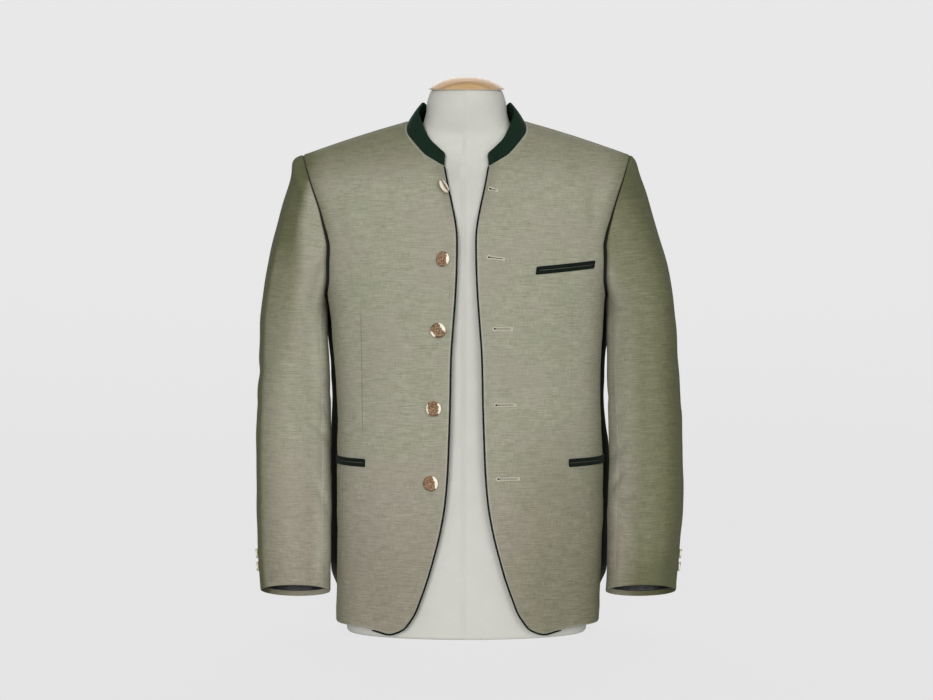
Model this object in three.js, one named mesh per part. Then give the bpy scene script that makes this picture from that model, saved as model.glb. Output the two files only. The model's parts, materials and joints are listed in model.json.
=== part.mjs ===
// A linen jacket with a stand collar, hanging open on a limbless dress form.
// Millimetres. +Z is up, the jacket's front faces -Y and the wearer's left side is +X.
// The origin is the middle of the form's flat base. Every panel is a cloth wall with open ends,
// made for the +X side and mirrored, and panels stay a seam gap apart.
import * as THREE from "three";

// ---------------------------------------------------------------- driving dimensions
const CLOTH_WALL = 2;
const COLLAR_WALL = 2.6;
const LINING_WALL = 1;
const SEAM_GAP = 0.4;
const RESTING_GAP = 0.6;

const SHOULDER_SEAM_HEIGHT = 750;
const UNDERARM_HEIGHT = 478;
const SIDE_Y = 8; // depth at which the body is widest
const SECTION_POWER = 0.65; // 1 is an ellipse, less is squarer
const SHOULDER_SLOPE_POWER = 1.3;

// The worn body, a row for each height on its centre line. drop is how far the row falls
// towards the side, and the others are its half width and its reach to the front and the back.
const bodyRow = table("height drop width front back", [
  [0, 0, 189, 120, 116],
  [110, 0, 190, 122, 122],
  [240, 0, 188, 123, 112],
  [325, 0, 187, 122, 99],
  [410, 0, 191, 123, 106],
  [478, 0, 199, 124, 117],
  [540, 0, 212, 118, 121],
  [600, 4, 220, 104, 118],
  [655, 19, 229, 82, 100],
  [712, 44, 234, 44, 62],
  [738, 60, 236, 21, 36],
  [SHOULDER_SEAM_HEIGHT, 66, 236, -SIDE_Y, SIDE_Y],
]);

// Cut lines of the panels, as distance from the centre line and height.
const FRONT_EDGE = [
  [84, 20], [73, 36.5], [64.5, 58], [57.5, 78], [51, 99], [40, 140], [32, 182], [28, 223],
  [26, 264], [24, 326], [22.7, 388], [20, 430], [17, 471], [15, 512], [14.5, 554], [16, 575],
  [19.4, 596], [23.6, 617], [28, 639], [32, 662],
];
const FRONT_HEM = [[84, 20], [90, 14.5], [107, 8.3], [124, 11.7], [146, 15], [168, 16]];
const FRONT_NECKLINE = [[32, 662], [45, 669], [60, 679], [76, 698], [85, 714], [84, 732]];
const BACK_NECKLINE = [[84, 732], [75, 727], [60, 723], [30, 719.5], [0, 719]];
const FRONT_ARMHOLE = [[197, 500], [197, 541], [199, 561], [206, 590], [216, 622], [226, 650]];
const BACK_ARMHOLE = [[199, 500], [200, 541], [204, 561], [210, 590], [218, 622], [227, 650]];
const SHOULDER_TIP = [235, 684];
const HEM_HEIGHT = { side: 16, back: 18 };
const SIDE_SEAM_GIRTH = 1.05; // 0 is centre front, 1 the side, 2 centre back

// How far each side hangs out from the plain section, and how the back swells behind its seam.
const SIDE_GIRTH = 1;
const SWELL_FROM = 1.045;
const SWELL_GIRTH = 1.15;
const SIDE_SPREAD = { side: 0.3, swell: 0.075 };
const sideHang = {
  left: table("height side swell", [
    [0, 0, 0],
    [44, 1.7, 0],
    [62, 2.4, 9],
    [82, 3.2, 17],
    [150, 5.7, 18.5],
    [225, 8, 18],
    [270, 7.2, 17],
    [301, 6.3, 14.5],
    [359, 4.6, 14],
    [388, 3.7, 14.5],
    [412, 3, 17],
    [450, 1.5, 17],
    [478, 0, 12],
    [505, 0, 4],
    [530, 0, 0],
    [SHOULDER_SEAM_HEIGHT, 0, 0],
  ]),
  right: table("height side swell", [
    [0, -2, 0],
    [44, -2.6, 0],
    [62, -3.4, 9],
    [82, -4.1, 17],
    [150, -3.8, 18.5],
    [225, -2.4, 18.5],
    [270, -2, 18],
    [312, -1.6, 16.5],
    [357, -0.7, 15.5],
    [390, 0.3, 14],
    [416, 0.5, 15],
    [450, 0.3, 17],
    [478, 0, 13],
    [505, 0, 5],
    [530, 0, 0],
    [SHOULDER_SEAM_HEIGHT, 0, 0],
  ]),
};

// Both front edges roll inwards under the collar.
const EDGE_ROLL = { depth: 16, width: 22, from: 540, to: 650 };

// Sleeve sections from the upper arm down. The jacket hangs a little uneven, so each side has
// its own middle and half width.
const sleeveRow = {
  left: table("height x y width depth", [
    [60, 248, -35, 50, 42],
    [100, 251, -29, 50.5, 44],
    [170, 256, -14, 54, 49],
    [260, 258.5, 2, 53, 54],
    [345, 256, 8, 52.5, 58],
    [430, 252.5, 7, 50, 62],
    [474, 252, 5, 49, 64],
  ]),
  right: table("height x y width depth", [
    [60, 243, -35, 49, 42],
    [100, 245, -29, 51, 44],
    [170, 247, -14, 53.5, 49],
    [260, 249, 2, 54, 54],
    [345, 249, 8, 52.5, 58],
    [430, 249, 7, 48.5, 62],
    [474, 249, 5, 48, 64],
  ]),
};
const BICEP_HEIGHT = 430;
const CUFF = { height: 60, tilt: 13 };
const FORE_SEAM_ANGLE = { armhole: -57, cuff: -52 };
const HIND_SEAM_ANGLE = { armhole: 144, cuff: 104 };
const SLEEVE_HEAD = { underarmReach: 16, tipReach: 52, tipFall: 30, tipGap: 0.6, landing: 1.05 };
const HEAD_ROLL = { left: 2.5, right: 7.5, at: 0.12, width: 0.1 }; // the padded roll at the tip

// Soft folds: place, half length along the fold, half width, depth inwards and lean in degrees.
const BODY_FOLDS = {
  left: [
    { name: "armpit hollow", x: 183, z: 612, length: 38, width: 13, depth: 4.5, lean: 12 },
    { name: "chest bow", x: 120, z: 590, length: 70, width: 26, depth: -2, lean: 20 },
    { name: "waist hollow", x: 150, z: 372, length: 95, width: 24, depth: 2.6, lean: -3 },
    { name: "pocket bow", x: 120, z: 170, length: 80, width: 34, depth: -2.2, lean: 10 },
  ],
  right: [
    { name: "armpit hollow", x: 186, z: 606, length: 40, width: 14, depth: 3.2, lean: 10 },
    { name: "waist hollow", x: 148, z: 378, length: 100, width: 24, depth: 2.4, lean: 2 },
    { name: "pocket bow", x: 112, z: 165, length: 90, width: 36, depth: -2, lean: 6 },
  ],
};
// Sleeve folds lie at an angle round the sleeve: 0 is the front, 90 the outer side.
const SLEEVE_FOLDS = {
  left: [
    { name: "head dimple", angle: 25, z: 632, length: 22, width: 14, depth: 3.5, lean: 0 },
    { name: "elbow fold", angle: -48, z: 262, length: 40, width: 9, depth: 2.6, lean: 58 },
    { name: "lower elbow fold", angle: -55, z: 214, length: 34, width: 8, depth: 2.2, lean: 50 },
    { name: "forearm fold", angle: -40, z: 168, length: 36, width: 9, depth: 1.8, lean: -42 },
    { name: "upper arm bow", angle: 60, z: 500, length: 90, width: 16, depth: -2, lean: 4 },
    { name: "back elbow fold", angle: 200, z: 300, length: 44, width: 10, depth: 2.4, lean: -55 },
    { name: "head slope", angle: 90, z: 575, length: 75, width: 30, depth: 7, lean: 0 },
  ],
  right: [
    { name: "upper arm trough", angle: 42, z: 545, length: 85, width: 11, depth: 2.6, lean: 6 },
    { name: "upper elbow bend", angle: 88, z: 372, length: 30, width: 13, depth: 2.2, lean: 70 },
    { name: "elbow bend", angle: -50, z: 285, length: 42, width: 9, depth: 2.4, lean: 55 },
    { name: "outer bend", angle: 95, z: 452, length: 30, width: 12, depth: -2, lean: 80 },
    { name: "forearm fold", angle: -52, z: 190, length: 34, width: 9, depth: 2, lean: 40 },
    { name: "back elbow fold", angle: 205, z: 320, length: 46, width: 10, depth: 2.2, lean: -50 },
  ],
};

const NECK_MIDDLE_Y = 4;

// The stand collar, from its front end (0) to centre back (1).
const collarRow = table("place height lean", [
  [0, 17.5, 12],
  [0.12, 24, 20],
  [0.3, 32, 28],
  [0.55, 34, 35],
  [0.8, 34, 12],
  [1, 34, 6],
]);

const PIPING_RADIUS = 1.2;
const PIPING_HEM_END = 124;

const LIP = { height: 5, slit: 1.4, wall: 1.4 };
const BREAST_POCKET = { inner: [96, 511.6], outer: [179, 522] };
const HIP_POCKET = { inner: [141, 244.5], outerGirth: 1.03, rise: 3 };

const FRONT_BUTTONS = [[34.6, 628], [32.5, 527], [38.8, 429], [45, 321], [49, 218]];
const FRONT_BUTTON = { radius: 10.75, thickness: 4.2, dish: 0.8 };
const FRONT_BUTTON_TURNS = [30, 0, 0, 0, 0]; // degrees towards the opening, on its thread shank
const CUFF_BUTTON = { radius: 7, thickness: 3.4, dish: 0.5 };
const CUFF_BUTTONS = { heights: [113, 95], angle: 96 };
const CUFF_LINING = { from: 7, to: 52 };

// The dress form: rows of half width and reach to the front and the back, base to neck top.
const FORM_SIDE_Y = 4;
const formRow = table("height width front back", [
  [0, 172, 106, 102],
  [110, 174, 108, 108],
  [240, 170, 106, 98],
  [325, 164, 104, 88],
  [410, 170, 106, 94],
  [478, 178, 110, 104],
  [540, 184, 104, 108],
  [600, 190, 88, 104],
  [636, 188, 66, 92],
  [662, 172, 51, 75],
  [680, 146, 48, 62],
  [697, 112, 46, 54],
  [710, 84, 46, 49],
  [722, 67, 49, 47],
  [740, 59, 53, 45],
  [757, 57, 56, 45],
  [768, 54, 57, 45],
  [776, 50.5, 55, 43],
]);
const FORM_HEIGHTS = [
  0, 36, 80, 125, 170, 215, 260, 300, 340, 380, 420, 460, 500, 540, 575, 605, 632, 652, 668,
  681, 692, 702, 712, 722, 734, 748, 762, 776,
];
const FORM_SIDES = 28;
// The neck's top leans forward, and the shallow cap with it.
const NECK_LEAN = { degrees: 7.6, from: 700, to: 776, middleY: -5 };
const NECK_CAP = { radius: 54.5, gap: 0.4, rim: 1.2, height: 18, dome: 2.6, undercut: 2 };

// Grid counts of the panels.
const EDGE_ROWS = 20;
const NECKLINE_ROWS = 6;
const SIDE_SEAM_ROWS = 15;
const FRONT_COLUMNS = 11;
const BACK_COLUMNS = 9;
const SLEEVE_HEAD_ROWS = 9;
const SLEEVE_LOWER_ROWS = 11;

const FINISHES = {
  linen: { color: 0x8f8b74, roughness: 0.9, metalness: 0 },
  felt: { color: 0x12261b, roughness: 0.95, metalness: 0 },
  piping: { color: 0x141c14, roughness: 0.7, metalness: 0 },
  lining: { color: 0x15151a, roughness: 0.5, metalness: 0 },
  horn: { color: 0xcabfa6, roughness: 0.45, metalness: 0 },
  cover: { color: 0xcfcdc2, roughness: 0.95, metalness: 0 },
  wood: { color: 0xc8965f, roughness: 0.45, metalness: 0 },
};

// ---------------------------------------------------------------- numbers and points
function mix(a, b, t) {
  return a + (b - a) * t;
}

function fade(t) {
  const clamped = Math.min(1, Math.max(0, t));
  return clamped * clamped * (3 - 2 * clamped);
}

function radians(degrees) {
  return (degrees * Math.PI) / 180;
}

// A table read smoothly: a cubic through the rows of each column, keyed by the first column.
function table(columns, rows) {
  const names = columns.split(" ");
  const keys = rows.map((row) => row[0]);
  const slope = (i, c) => {
    const below = Math.max(0, i - 1);
    const above = Math.min(rows.length - 1, i + 1);
    return (rows[above][c] - rows[below][c]) / (keys[above] - keys[below]);
  };
  return (key) => {
    const clamped = Math.min(keys.at(-1), Math.max(keys[0], key));
    const next = Math.max(1, keys.findIndex((k) => k >= clamped));
    const span = keys[next] - keys[next - 1];
    const t = (clamped - keys[next - 1]) / span;
    const values = names.map((_, c) => {
      const [from, to] = [rows[next - 1][c], rows[next][c]];
      const [rise, land] = [slope(next - 1, c) * span, slope(next, c) * span];
      return (
        from * (2 * t ** 3 - 3 * t ** 2 + 1) +
        rise * (t ** 3 - 2 * t ** 2 + t) +
        to * (3 * t ** 2 - 2 * t ** 3) +
        land * (t ** 3 - t ** 2)
      );
    });
    return Object.fromEntries(names.map((name, c) => [name, values[c]]));
  };
}

// The shortest turn from one angle to another, in degrees.
function turnBetween(from, to) {
  return ((((to - from + 180) % 360) + 360) % 360) - 180;
}

// How deep a list of folds presses at a place, across and up in millimetres.
function foldDepth(folds, across, up) {
  return folds.reduce((sum, fold) => {
    const lean = radians(fold.lean);
    const dx = across(fold);
    const dz = up - fold.z;
    const along = dz * Math.cos(lean) + dx * Math.sin(lean);
    const aside = dx * Math.cos(lean) - dz * Math.sin(lean);
    return sum + fold.depth * Math.exp(-((along / fold.length) ** 2) - (aside / fold.width) ** 2);
  }, 0);
}

// ---------------------------------------------------------------- the worn body
function sectionPoint(row, sideY, girth, height, power, slopePower) {
  const angle = (girth * Math.PI) / 2;
  const across = Math.sin(angle);
  const forward = Math.cos(angle);
  const reach = forward > 0 ? row.front + sideY : row.back - sideY;
  return new THREE.Vector3(
    row.width * across,
    sideY - reach * Math.sign(forward) * Math.abs(forward) ** power,
    height - (row.drop ?? 0) * Math.abs(across) ** slopePower,
  );
}

function plainBody(girth, height) {
  const capped = Math.min(height, SHOULDER_SEAM_HEIGHT);
  return sectionPoint(bodyRow(capped), SIDE_Y, girth, capped, SECTION_POWER, SHOULDER_SLOPE_POWER);
}

const edgeAt = table("height x", FRONT_EDGE.map(([x, z]) => [z, x]));

// The body's outer surface on one side, with its folds and the roll of its front edge.
function wornBody(sideName) {
  const folded = (girth, height) => {
    const point = plainBody(girth, height);
    const hung = sideHang[sideName](height);
    point.x += hung.side * Math.exp(-(((girth - SIDE_GIRTH) / SIDE_SPREAD.side) ** 2));
    const swell = hung.swell * fade((girth - SWELL_FROM) / 0.05);
    point.x += swell * Math.exp(-(((girth - SWELL_GIRTH) / SIDE_SPREAD.swell) ** 2));
    if (girth > 1) return point;
    const fromEdge = Math.max(0, point.x - edgeAt(point.z).x) / EDGE_ROLL.width;
    const risen = fade((point.z - EDGE_ROLL.from) / (EDGE_ROLL.to - EDGE_ROLL.from));
    point.y += EDGE_ROLL.depth * risen * Math.max(0, 1 - fromEdge) ** 2;
    const sunk = foldDepth(BODY_FOLDS[sideName], (fold) => point.x - fold.x, point.z);
    const away = new THREE.Vector3(point.x * 0.6, point.y - SIDE_Y, 0).normalize();
    return point.addScaledVector(away, -sunk);
  };
  return folded;
}

const GIRTH_STEP = 0.005;
const HEIGHT_STEP = 1.5;

function surfaceNormal(surface, girth, height) {
  const low = Math.max(0, height - HEIGHT_STEP);
  const high = Math.min(SHOULDER_SEAM_HEIGHT, height + HEIGHT_STEP);
  const around = surface(girth + GIRTH_STEP, height).sub(surface(girth - GIRTH_STEP, height));
  const upwards = surface(girth, high).sub(surface(girth, low));
  return around.cross(upwards).normalize();
}

// The wall's inward step. On the shoulder seam the front and back walls share a mitre.
function inwardStep(surface, { x: girth, y: height }, wall) {
  const normal = surfaceNormal(surface, girth, height);
  if (height < SHOULDER_SEAM_HEIGHT - 0.01) return normal.multiplyScalar(-wall);
  const other = surfaceNormal(surface, 2 - girth, height);
  const mitre = normal.clone().add(other).normalize();
  return mitre.multiplyScalar(-wall / mitre.dot(normal));
}

// The girth and height of a place given from the front or the back by x and z.
function onBody(x, z, behind = false) {
  let low = 0;
  let high = SHOULDER_SEAM_HEIGHT;
  const drawn = (height) => {
    const row = bodyRow(height);
    return height - row.drop * (x / row.width) ** SHOULDER_SLOPE_POWER;
  };
  for (let step = 0; step < 40; step++) {
    const middle = (low + high) / 2;
    if (drawn(middle) < z) low = middle;
    else high = middle;
  }
  const girth = Math.asin(Math.min(1, x / bodyRow(low).width)) / (Math.PI / 2);
  return new THREE.Vector2(behind ? 2 - girth : girth, low);
}

// Evenly spaced stations along a cut line, measured on the plain body.
function stations(points, count) {
  const line = new THREE.SplineCurve(points);
  const fine = Array.from({ length: 241 }, (_, i) => line.getPoint(i / 240));
  const walked = [0];
  for (let i = 1; i < fine.length; i++) {
    const step = plainBody(fine[i].x, fine[i].y).distanceTo(plainBody(fine[i - 1].x, fine[i - 1].y));
    walked.push(walked[i - 1] + step);
  }
  return Array.from({ length: count }, (_, i) => {
    const goal = (walked.at(-1) * i) / (count - 1);
    const next = Math.max(1, walked.findIndex((w) => w >= goal - 1e-9));
    const t = (goal - walked[next - 1]) / (walked[next] - walked[next - 1]);
    return fine[next - 1].clone().lerp(fine[next], t);
  });
}

// A panel's grid of girth and height, filled in between its four cut lines.
function fillPanel({ left, right, bottom, top }) {
  const rows = left.length;
  const columns = bottom.length;
  return left.map((_, j) =>
    bottom.map((_, i) => {
      const u = i / (columns - 1);
      const v = j / (rows - 1);
      const blend = (key) =>
        mix(left[j][key], right[j][key], u) +
        mix(bottom[i][key], top[i][key], v) -
        mix(mix(bottom[0][key], bottom.at(-1)[key], u), mix(top[0][key], top.at(-1)[key], u), v);
      return new THREE.Vector2(blend("x"), blend("y"));
    }),
  );
}

// ---------------------------------------------------------------- cut lines
const shoulderTipFront = onBody(...SHOULDER_TIP).setY(SHOULDER_SEAM_HEIGHT);
const shoulderTipBack = new THREE.Vector2(2 - shoulderTipFront.x, SHOULDER_SEAM_HEIGHT);
const neckPoint = onBody(...FRONT_NECKLINE.at(-1)).setY(SHOULDER_SEAM_HEIGHT);
const neckPointBack = new THREE.Vector2(2 - neckPoint.x, SHOULDER_SEAM_HEIGHT);
const underarm = new THREE.Vector2(SIDE_SEAM_GIRTH, UNDERARM_HEIGHT);
const sideHem = new THREE.Vector2(SIDE_SEAM_GIRTH, HEM_HEIGHT.side);
const centreBackHem = new THREE.Vector2(2, HEM_HEIGHT.back);

const line = (places, behind) => places.map(([x, z]) => onBody(x, z, behind));
const frontEdge = stations(line(FRONT_EDGE), EDGE_ROWS);
const frontNeckline = stations([...line(FRONT_NECKLINE.slice(0, -1)), neckPoint], NECKLINE_ROWS + 1);
const backNeckline = stations([neckPointBack, ...line(BACK_NECKLINE.slice(1), true)], NECKLINE_ROWS + 1);
const sideSeam = stations([sideHem, underarm], SIDE_SEAM_ROWS);
const ARMHOLE_STEPS = EDGE_ROWS + NECKLINE_ROWS - SIDE_SEAM_ROWS;
const frontArmhole = stations(
  [underarm, new THREE.Vector2(0.93, 483), ...line(FRONT_ARMHOLE), shoulderTipFront],
  ARMHOLE_STEPS + 1,
);
const backArmhole = stations(
  [underarm, new THREE.Vector2(1.12, 484), ...line(BACK_ARMHOLE, true), shoulderTipBack],
  ARMHOLE_STEPS + 1,
);

const frontPanel = fillPanel({
  left: [...frontEdge, ...frontNeckline.slice(1)],
  right: [...sideSeam, ...frontArmhole.slice(1)],
  bottom: stations([...line(FRONT_HEM), sideHem], FRONT_COLUMNS),
  top: stations([neckPoint, shoulderTipFront], FRONT_COLUMNS),
});

const backPanel = fillPanel({
  left: [...sideSeam, ...backArmhole.slice(1)],
  right: [...stations([centreBackHem, backNeckline.at(-1)], EDGE_ROWS), ...backNeckline.slice(0, -1).reverse()],
  bottom: stations([sideHem, centreBackHem], BACK_COLUMNS),
  top: stations([shoulderTipBack, neckPointBack], BACK_COLUMNS),
});

// ---------------------------------------------------------------- walls
// A closed wall between two grids of points. Rows run up and columns run round, so that the
// outer grid faces out. An endless wall joins its last column to its first.
function wallGeometry(outer, inner, endless = false) {
  const rows = outer.length;
  const columns = outer[0].length;
  const sheet = rows * columns;
  const positions = [...outer.flat(), ...inner.flat()].flatMap((p) => [p.x, p.y, p.z]);
  const at = (j, i, side) => side * sheet + j * columns + (i % columns);
  const faces = [];
  const quad = (a, b, c, d) => faces.push(a, b, c, a, c, d);
  const lastColumn = endless ? columns : columns - 1;
  for (let j = 0; j < rows - 1; j++) {
    for (let i = 0; i < lastColumn; i++) {
      quad(at(j, i, 0), at(j, i + 1, 0), at(j + 1, i + 1, 0), at(j + 1, i, 0));
      quad(at(j, i, 1), at(j + 1, i, 1), at(j + 1, i + 1, 1), at(j, i + 1, 1));
    }
  }
  for (let i = 0; i < lastColumn; i++) {
    quad(at(0, i, 0), at(0, i, 1), at(0, i + 1, 1), at(0, i + 1, 0));
    quad(at(rows - 1, i, 0), at(rows - 1, i + 1, 0), at(rows - 1, i + 1, 1), at(rows - 1, i, 1));
  }
  for (let j = 0; j < rows - 1 && !endless; j++) {
    quad(at(j, 0, 0), at(j + 1, 0, 0), at(j + 1, 0, 1), at(j, 0, 1));
    const i = columns - 1;
    quad(at(j, i, 0), at(j, i, 1), at(j + 1, i, 1), at(j + 1, i, 0));
  }
  const geometry = new THREE.BufferGeometry();
  geometry.setAttribute("position", new THREE.Float32BufferAttribute(positions, 3));
  geometry.setIndex(faces);
  geometry.computeVertexNormals();
  return geometry;
}

// A closed tube through rings of points, with flat ends.
function tubeGeometry(rings) {
  const sides = rings[0].length;
  const middles = [rings[0], rings.at(-1)].map((ring) =>
    ring.reduce((sum, p) => sum.add(p), new THREE.Vector3()).divideScalar(sides),
  );
  const positions = [...rings.flat(), ...middles].flatMap((p) => [p.x, p.y, p.z]);
  const [first, last] = [rings.length * sides, rings.length * sides + 1];
  const top = (rings.length - 1) * sides;
  const faces = [];
  for (let i = 0; i < sides; i++) {
    const next = (i + 1) % sides;
    for (let j = 0; j < rings.length - 1; j++) {
      const [a, b] = [j * sides + i, j * sides + next];
      faces.push(a, b, b + sides, a, b + sides, a + sides);
    }
    faces.push(first, next, i, last, top + i, top + next);
  }
  const geometry = new THREE.BufferGeometry();
  geometry.setAttribute("position", new THREE.Float32BufferAttribute(positions, 3));
  geometry.setIndex(faces);
  geometry.computeVertexNormals();
  return geometry;
}

function mirrored(grid) {
  return grid.map((row) => row.map((p) => new THREE.Vector3(-p.x, p.y, p.z)).reverse());
}

function forSide(side, grid) {
  return side.sign > 0 ? grid : mirrored(grid);
}

// The step of every border point of a grid away from its seam, towards its neighbour inside.
function seamSteps(grid, gap) {
  const step = (from, to) => to.clone().sub(from).normalize().multiplyScalar(gap);
  return grid.map((row, j) =>
    row.map((point, i) => {
      const move = new THREE.Vector3();
      if (i === 0) move.add(step(point, row[1]));
      if (i === row.length - 1) move.add(step(point, row.at(-2)));
      if (j === 0) move.add(step(point, grid[1][i]));
      if (j === grid.length - 1) move.add(step(point, grid.at(-2)[i]));
      return move;
    }),
  );
}

function shifted(grid, steps) {
  return grid.map((row, j) => row.map((p, i) => p.clone().add(steps[j][i])));
}

// ---------------------------------------------------------------- meshes
const jacket = new THREE.Group();
const dressForm = new THREE.Group();
const SIDES = [
  { name: "left", sign: 1 },
  { name: "right", sign: -1 },
];

function addMesh(group, name, geometry, finish) {
  const mesh = new THREE.Mesh(geometry, new THREE.MeshStandardMaterial(FINISHES[finish]));
  mesh.name = name;
  group.add(mesh);
  return mesh;
}

function addBodyPanel(side, name, places) {
  const surface = wornBody(side.name);
  const outer = places.map((row) => row.map((p) => surface(p.x, p.y)));
  const inward = places.map((row) => row.map((p) => inwardStep(surface, p, CLOTH_WALL)));
  const inset = shifted(outer, seamSteps(outer, SEAM_GAP / 2));
  const inner = shifted(inset, inward);
  addMesh(jacket, name, wallGeometry(forSide(side, inset), forSide(side, inner)), "linen");
}

// ---------------------------------------------------------------- sleeves
// Angles round the sleeve at the armhole: from the underarm over the front to the shoulder tip,
// then down the back. The armhole stations are shared with the panels.
const armholeRing = [...frontArmhole, ...backArmhole.slice(1, -1).reverse()];
const RING_COUNT = armholeRing.length;
const foreSeam = Math.round(((FORE_SEAM_ANGLE.armhole + 90) / 360) * RING_COUNT);
const hindSeam = Math.round(((HIND_SEAM_ANGLE.armhole + 90) / 360) * RING_COUNT);

// The angle of a ring station. It drifts with the seams on the way down to the cuff.
function stationAngle(station, down) {
  const atArmhole = -90 + (360 * station) / RING_COUNT;
  const between = (from, to, angleFrom, angleTo) =>
    mix(angleFrom, angleTo, (station - from) / (to - from));
  const [fore, hind] = [FORE_SEAM_ANGLE.cuff, HIND_SEAM_ANGLE.cuff];
  let atCuff = between(hindSeam, RING_COUNT + foreSeam, hind, fore + 360);
  if (station < foreSeam) atCuff -= 360;
  if (station < foreSeam) {
    atCuff = mix(hind - 360, fore, (station + RING_COUNT - hindSeam) / (RING_COUNT + foreSeam - hindSeam));
  } else if (station <= hindSeam) {
    atCuff = between(foreSeam, hindSeam, fore, hind);
  }
  return mix(atArmhole, atCuff, fade(down));
}

function sleeveSection(side, angle, height) {
  const row = sleeveRow[side.name](height);
  const turn = radians(angle);
  const low = fade((BICEP_HEIGHT - height) / (BICEP_HEIGHT - CUFF.height));
  const radius = (row.width + row.depth) / 2;
  const across = (fold) => radians(turnBetween(fold.angle, angle)) * radius;
  const sunk = foldDepth(SLEEVE_FOLDS[side.name], across, height);
  return new THREE.Vector3(
    row.x + (row.width - sunk) * Math.sin(turn),
    row.y - (row.depth - sunk) * Math.cos(turn),
    height + CUFF.tilt * low * Math.cos(turn),
  );
}

// A point of the sleeve head: a smooth run from the armhole out and down to the upper arm.
function sleeveHeadPoint(side, station, t) {
  const start = wornBody(side.name)(armholeRing[station].x, armholeRing[station].y);
  const angle = stationAngle(station, t / 2);
  const end = sleeveSection(side, angle, BICEP_HEIGHT);
  const { x, y } = sleeveRow[side.name](BICEP_HEIGHT);
  const middle = new THREE.Vector3(x, y, end.z);
  const lift = (1 + Math.sin(radians(angle))) / 2;
  const reach = mix(SLEEVE_HEAD.underarmReach, SLEEVE_HEAD.tipReach, Math.sqrt(lift));
  const leaving = new THREE.Vector3(reach, 0, -SLEEVE_HEAD.tipFall * lift);
  const landing = new THREE.Vector3(0, 0, -(start.z - end.z) * SLEEVE_HEAD.landing);
  start.addScaledVector(leaving.clone().normalize(), SEAM_GAP + SLEEVE_HEAD.tipGap * lift ** 8);
  const point = start
    .multiplyScalar(2 * t ** 3 - 3 * t ** 2 + 1)
    .addScaledVector(leaving, t ** 3 - 2 * t ** 2 + t)
    .addScaledVector(end, 3 * t ** 2 - 2 * t ** 3)
    .addScaledVector(landing, t ** 3 - t ** 2);
  const across = (fold) => radians(turnBetween(fold.angle, angle)) * end.distanceTo(middle);
  const sunk = foldDepth(SLEEVE_FOLDS[side.name], across, point.z) * fade(t * 4) * (1 - t);
  const inward = new THREE.Vector3(-Math.sin(radians(angle)), Math.cos(radians(angle)), 0);
  const padded = Math.exp(-(((t - HEAD_ROLL.at) / HEAD_ROLL.width) ** 2)) * Math.min(1, t / 0.04);
  const roll = new THREE.Vector3(1, 0, 0.25).multiplyScalar(HEAD_ROLL[side.name] * lift ** 3 * padded);
  return point.addScaledVector(inward, sunk).add(roll);
}

// The whole sleeve as an endless grid, its cuff in the first row.
function sleeveGrid(side) {
  const rows = [];
  const stationsRound = Array.from({ length: RING_COUNT }, (_, k) => k);
  for (let j = SLEEVE_LOWER_ROWS; j > 0; j--) {
    const down = j / SLEEVE_LOWER_ROWS;
    const height = mix(BICEP_HEIGHT, CUFF.height, down);
    rows.push(stationsRound.map((k) => sleeveSection(side, stationAngle(k, 0.5 + down / 2), height)));
  }
  for (let j = SLEEVE_HEAD_ROWS; j >= 0; j--) {
    const t = (j / SLEEVE_HEAD_ROWS) ** 1.35;
    rows.push(stationsRound.map((k) => sleeveHeadPoint(side, k, t)));
  }
  return rows;
}

// Inward steps of an endless grid, from its neighbours all round.
function gridSteps(grid, wall) {
  const count = grid[0].length;
  return grid.map((row, j) =>
    row.map((_, i) => {
      const around = row[(i + 1) % count].clone().sub(row[(i + count - 1) % count]);
      const above = grid[Math.min(grid.length - 1, j + 1)][i];
      const below = grid[Math.max(0, j - 1)][i];
      return around.cross(above.clone().sub(below)).normalize().multiplyScalar(-wall);
    }),
  );
}

function columnsFrom(grid, first, last) {
  const count = grid[0].length;
  const picked = Array.from({ length: last - first + 1 }, (_, k) => (first + k) % count);
  return grid.map((row) => picked.map((i) => row[i]));
}

function addSleeve(side) {
  const grid = sleeveGrid(side);
  const inward = gridSteps(grid, CLOTH_WALL);
  const pieces = [
    { name: "top_sleeve", first: foreSeam, last: hindSeam },
    { name: "under_sleeve", first: hindSeam, last: RING_COUNT + foreSeam },
  ];
  for (const { name, first, last } of pieces) {
    const outer = columnsFrom(grid, first, last);
    const steps = columnsFrom(inward, first, last);
    const apart = seamSteps(outer, SEAM_GAP / 2).map((row) =>
      row.map((move, i) => (i === 0 || i === row.length - 1 ? move : new THREE.Vector3())),
    );
    const inset = shifted(outer, apart);
    const inner = shifted(inset, steps);
    const geometry = wallGeometry(forSide(side, inset), forSide(side, inner));
    addMesh(jacket, `${name}_${side.name}`, geometry, "linen");
  }
  addCuffLining(side);
}

// The strip of lining that shows inside the cuff.
function addCuffLining(side) {
  const rows = [CUFF_LINING.from, (CUFF_LINING.from + CUFF_LINING.to) / 2, CUFF_LINING.to].map((up) =>
    Array.from({ length: RING_COUNT }, (_, k) => {
      const height = CUFF.height + up;
      const down = (BICEP_HEIGHT - height) / (BICEP_HEIGHT - CUFF.height);
      return sleeveSection(side, stationAngle(k, 0.5 + down / 2), height);
    }),
  );
  const outer = shifted(rows, gridSteps(rows, CLOTH_WALL + RESTING_GAP));
  const inner = shifted(outer, gridSteps(rows, LINING_WALL));
  const geometry = wallGeometry(forSide(side, outer), forSide(side, inner), true);
  addMesh(jacket, `cuff_lining_${side.name}`, geometry, "lining");
}

// ---------------------------------------------------------------- collar
function collarBase(side) {
  const surface = wornBody(side.name);
  return [...frontNeckline, ...backNeckline.slice(1)].map((p) => surface(p.x, p.y));
}

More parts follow.
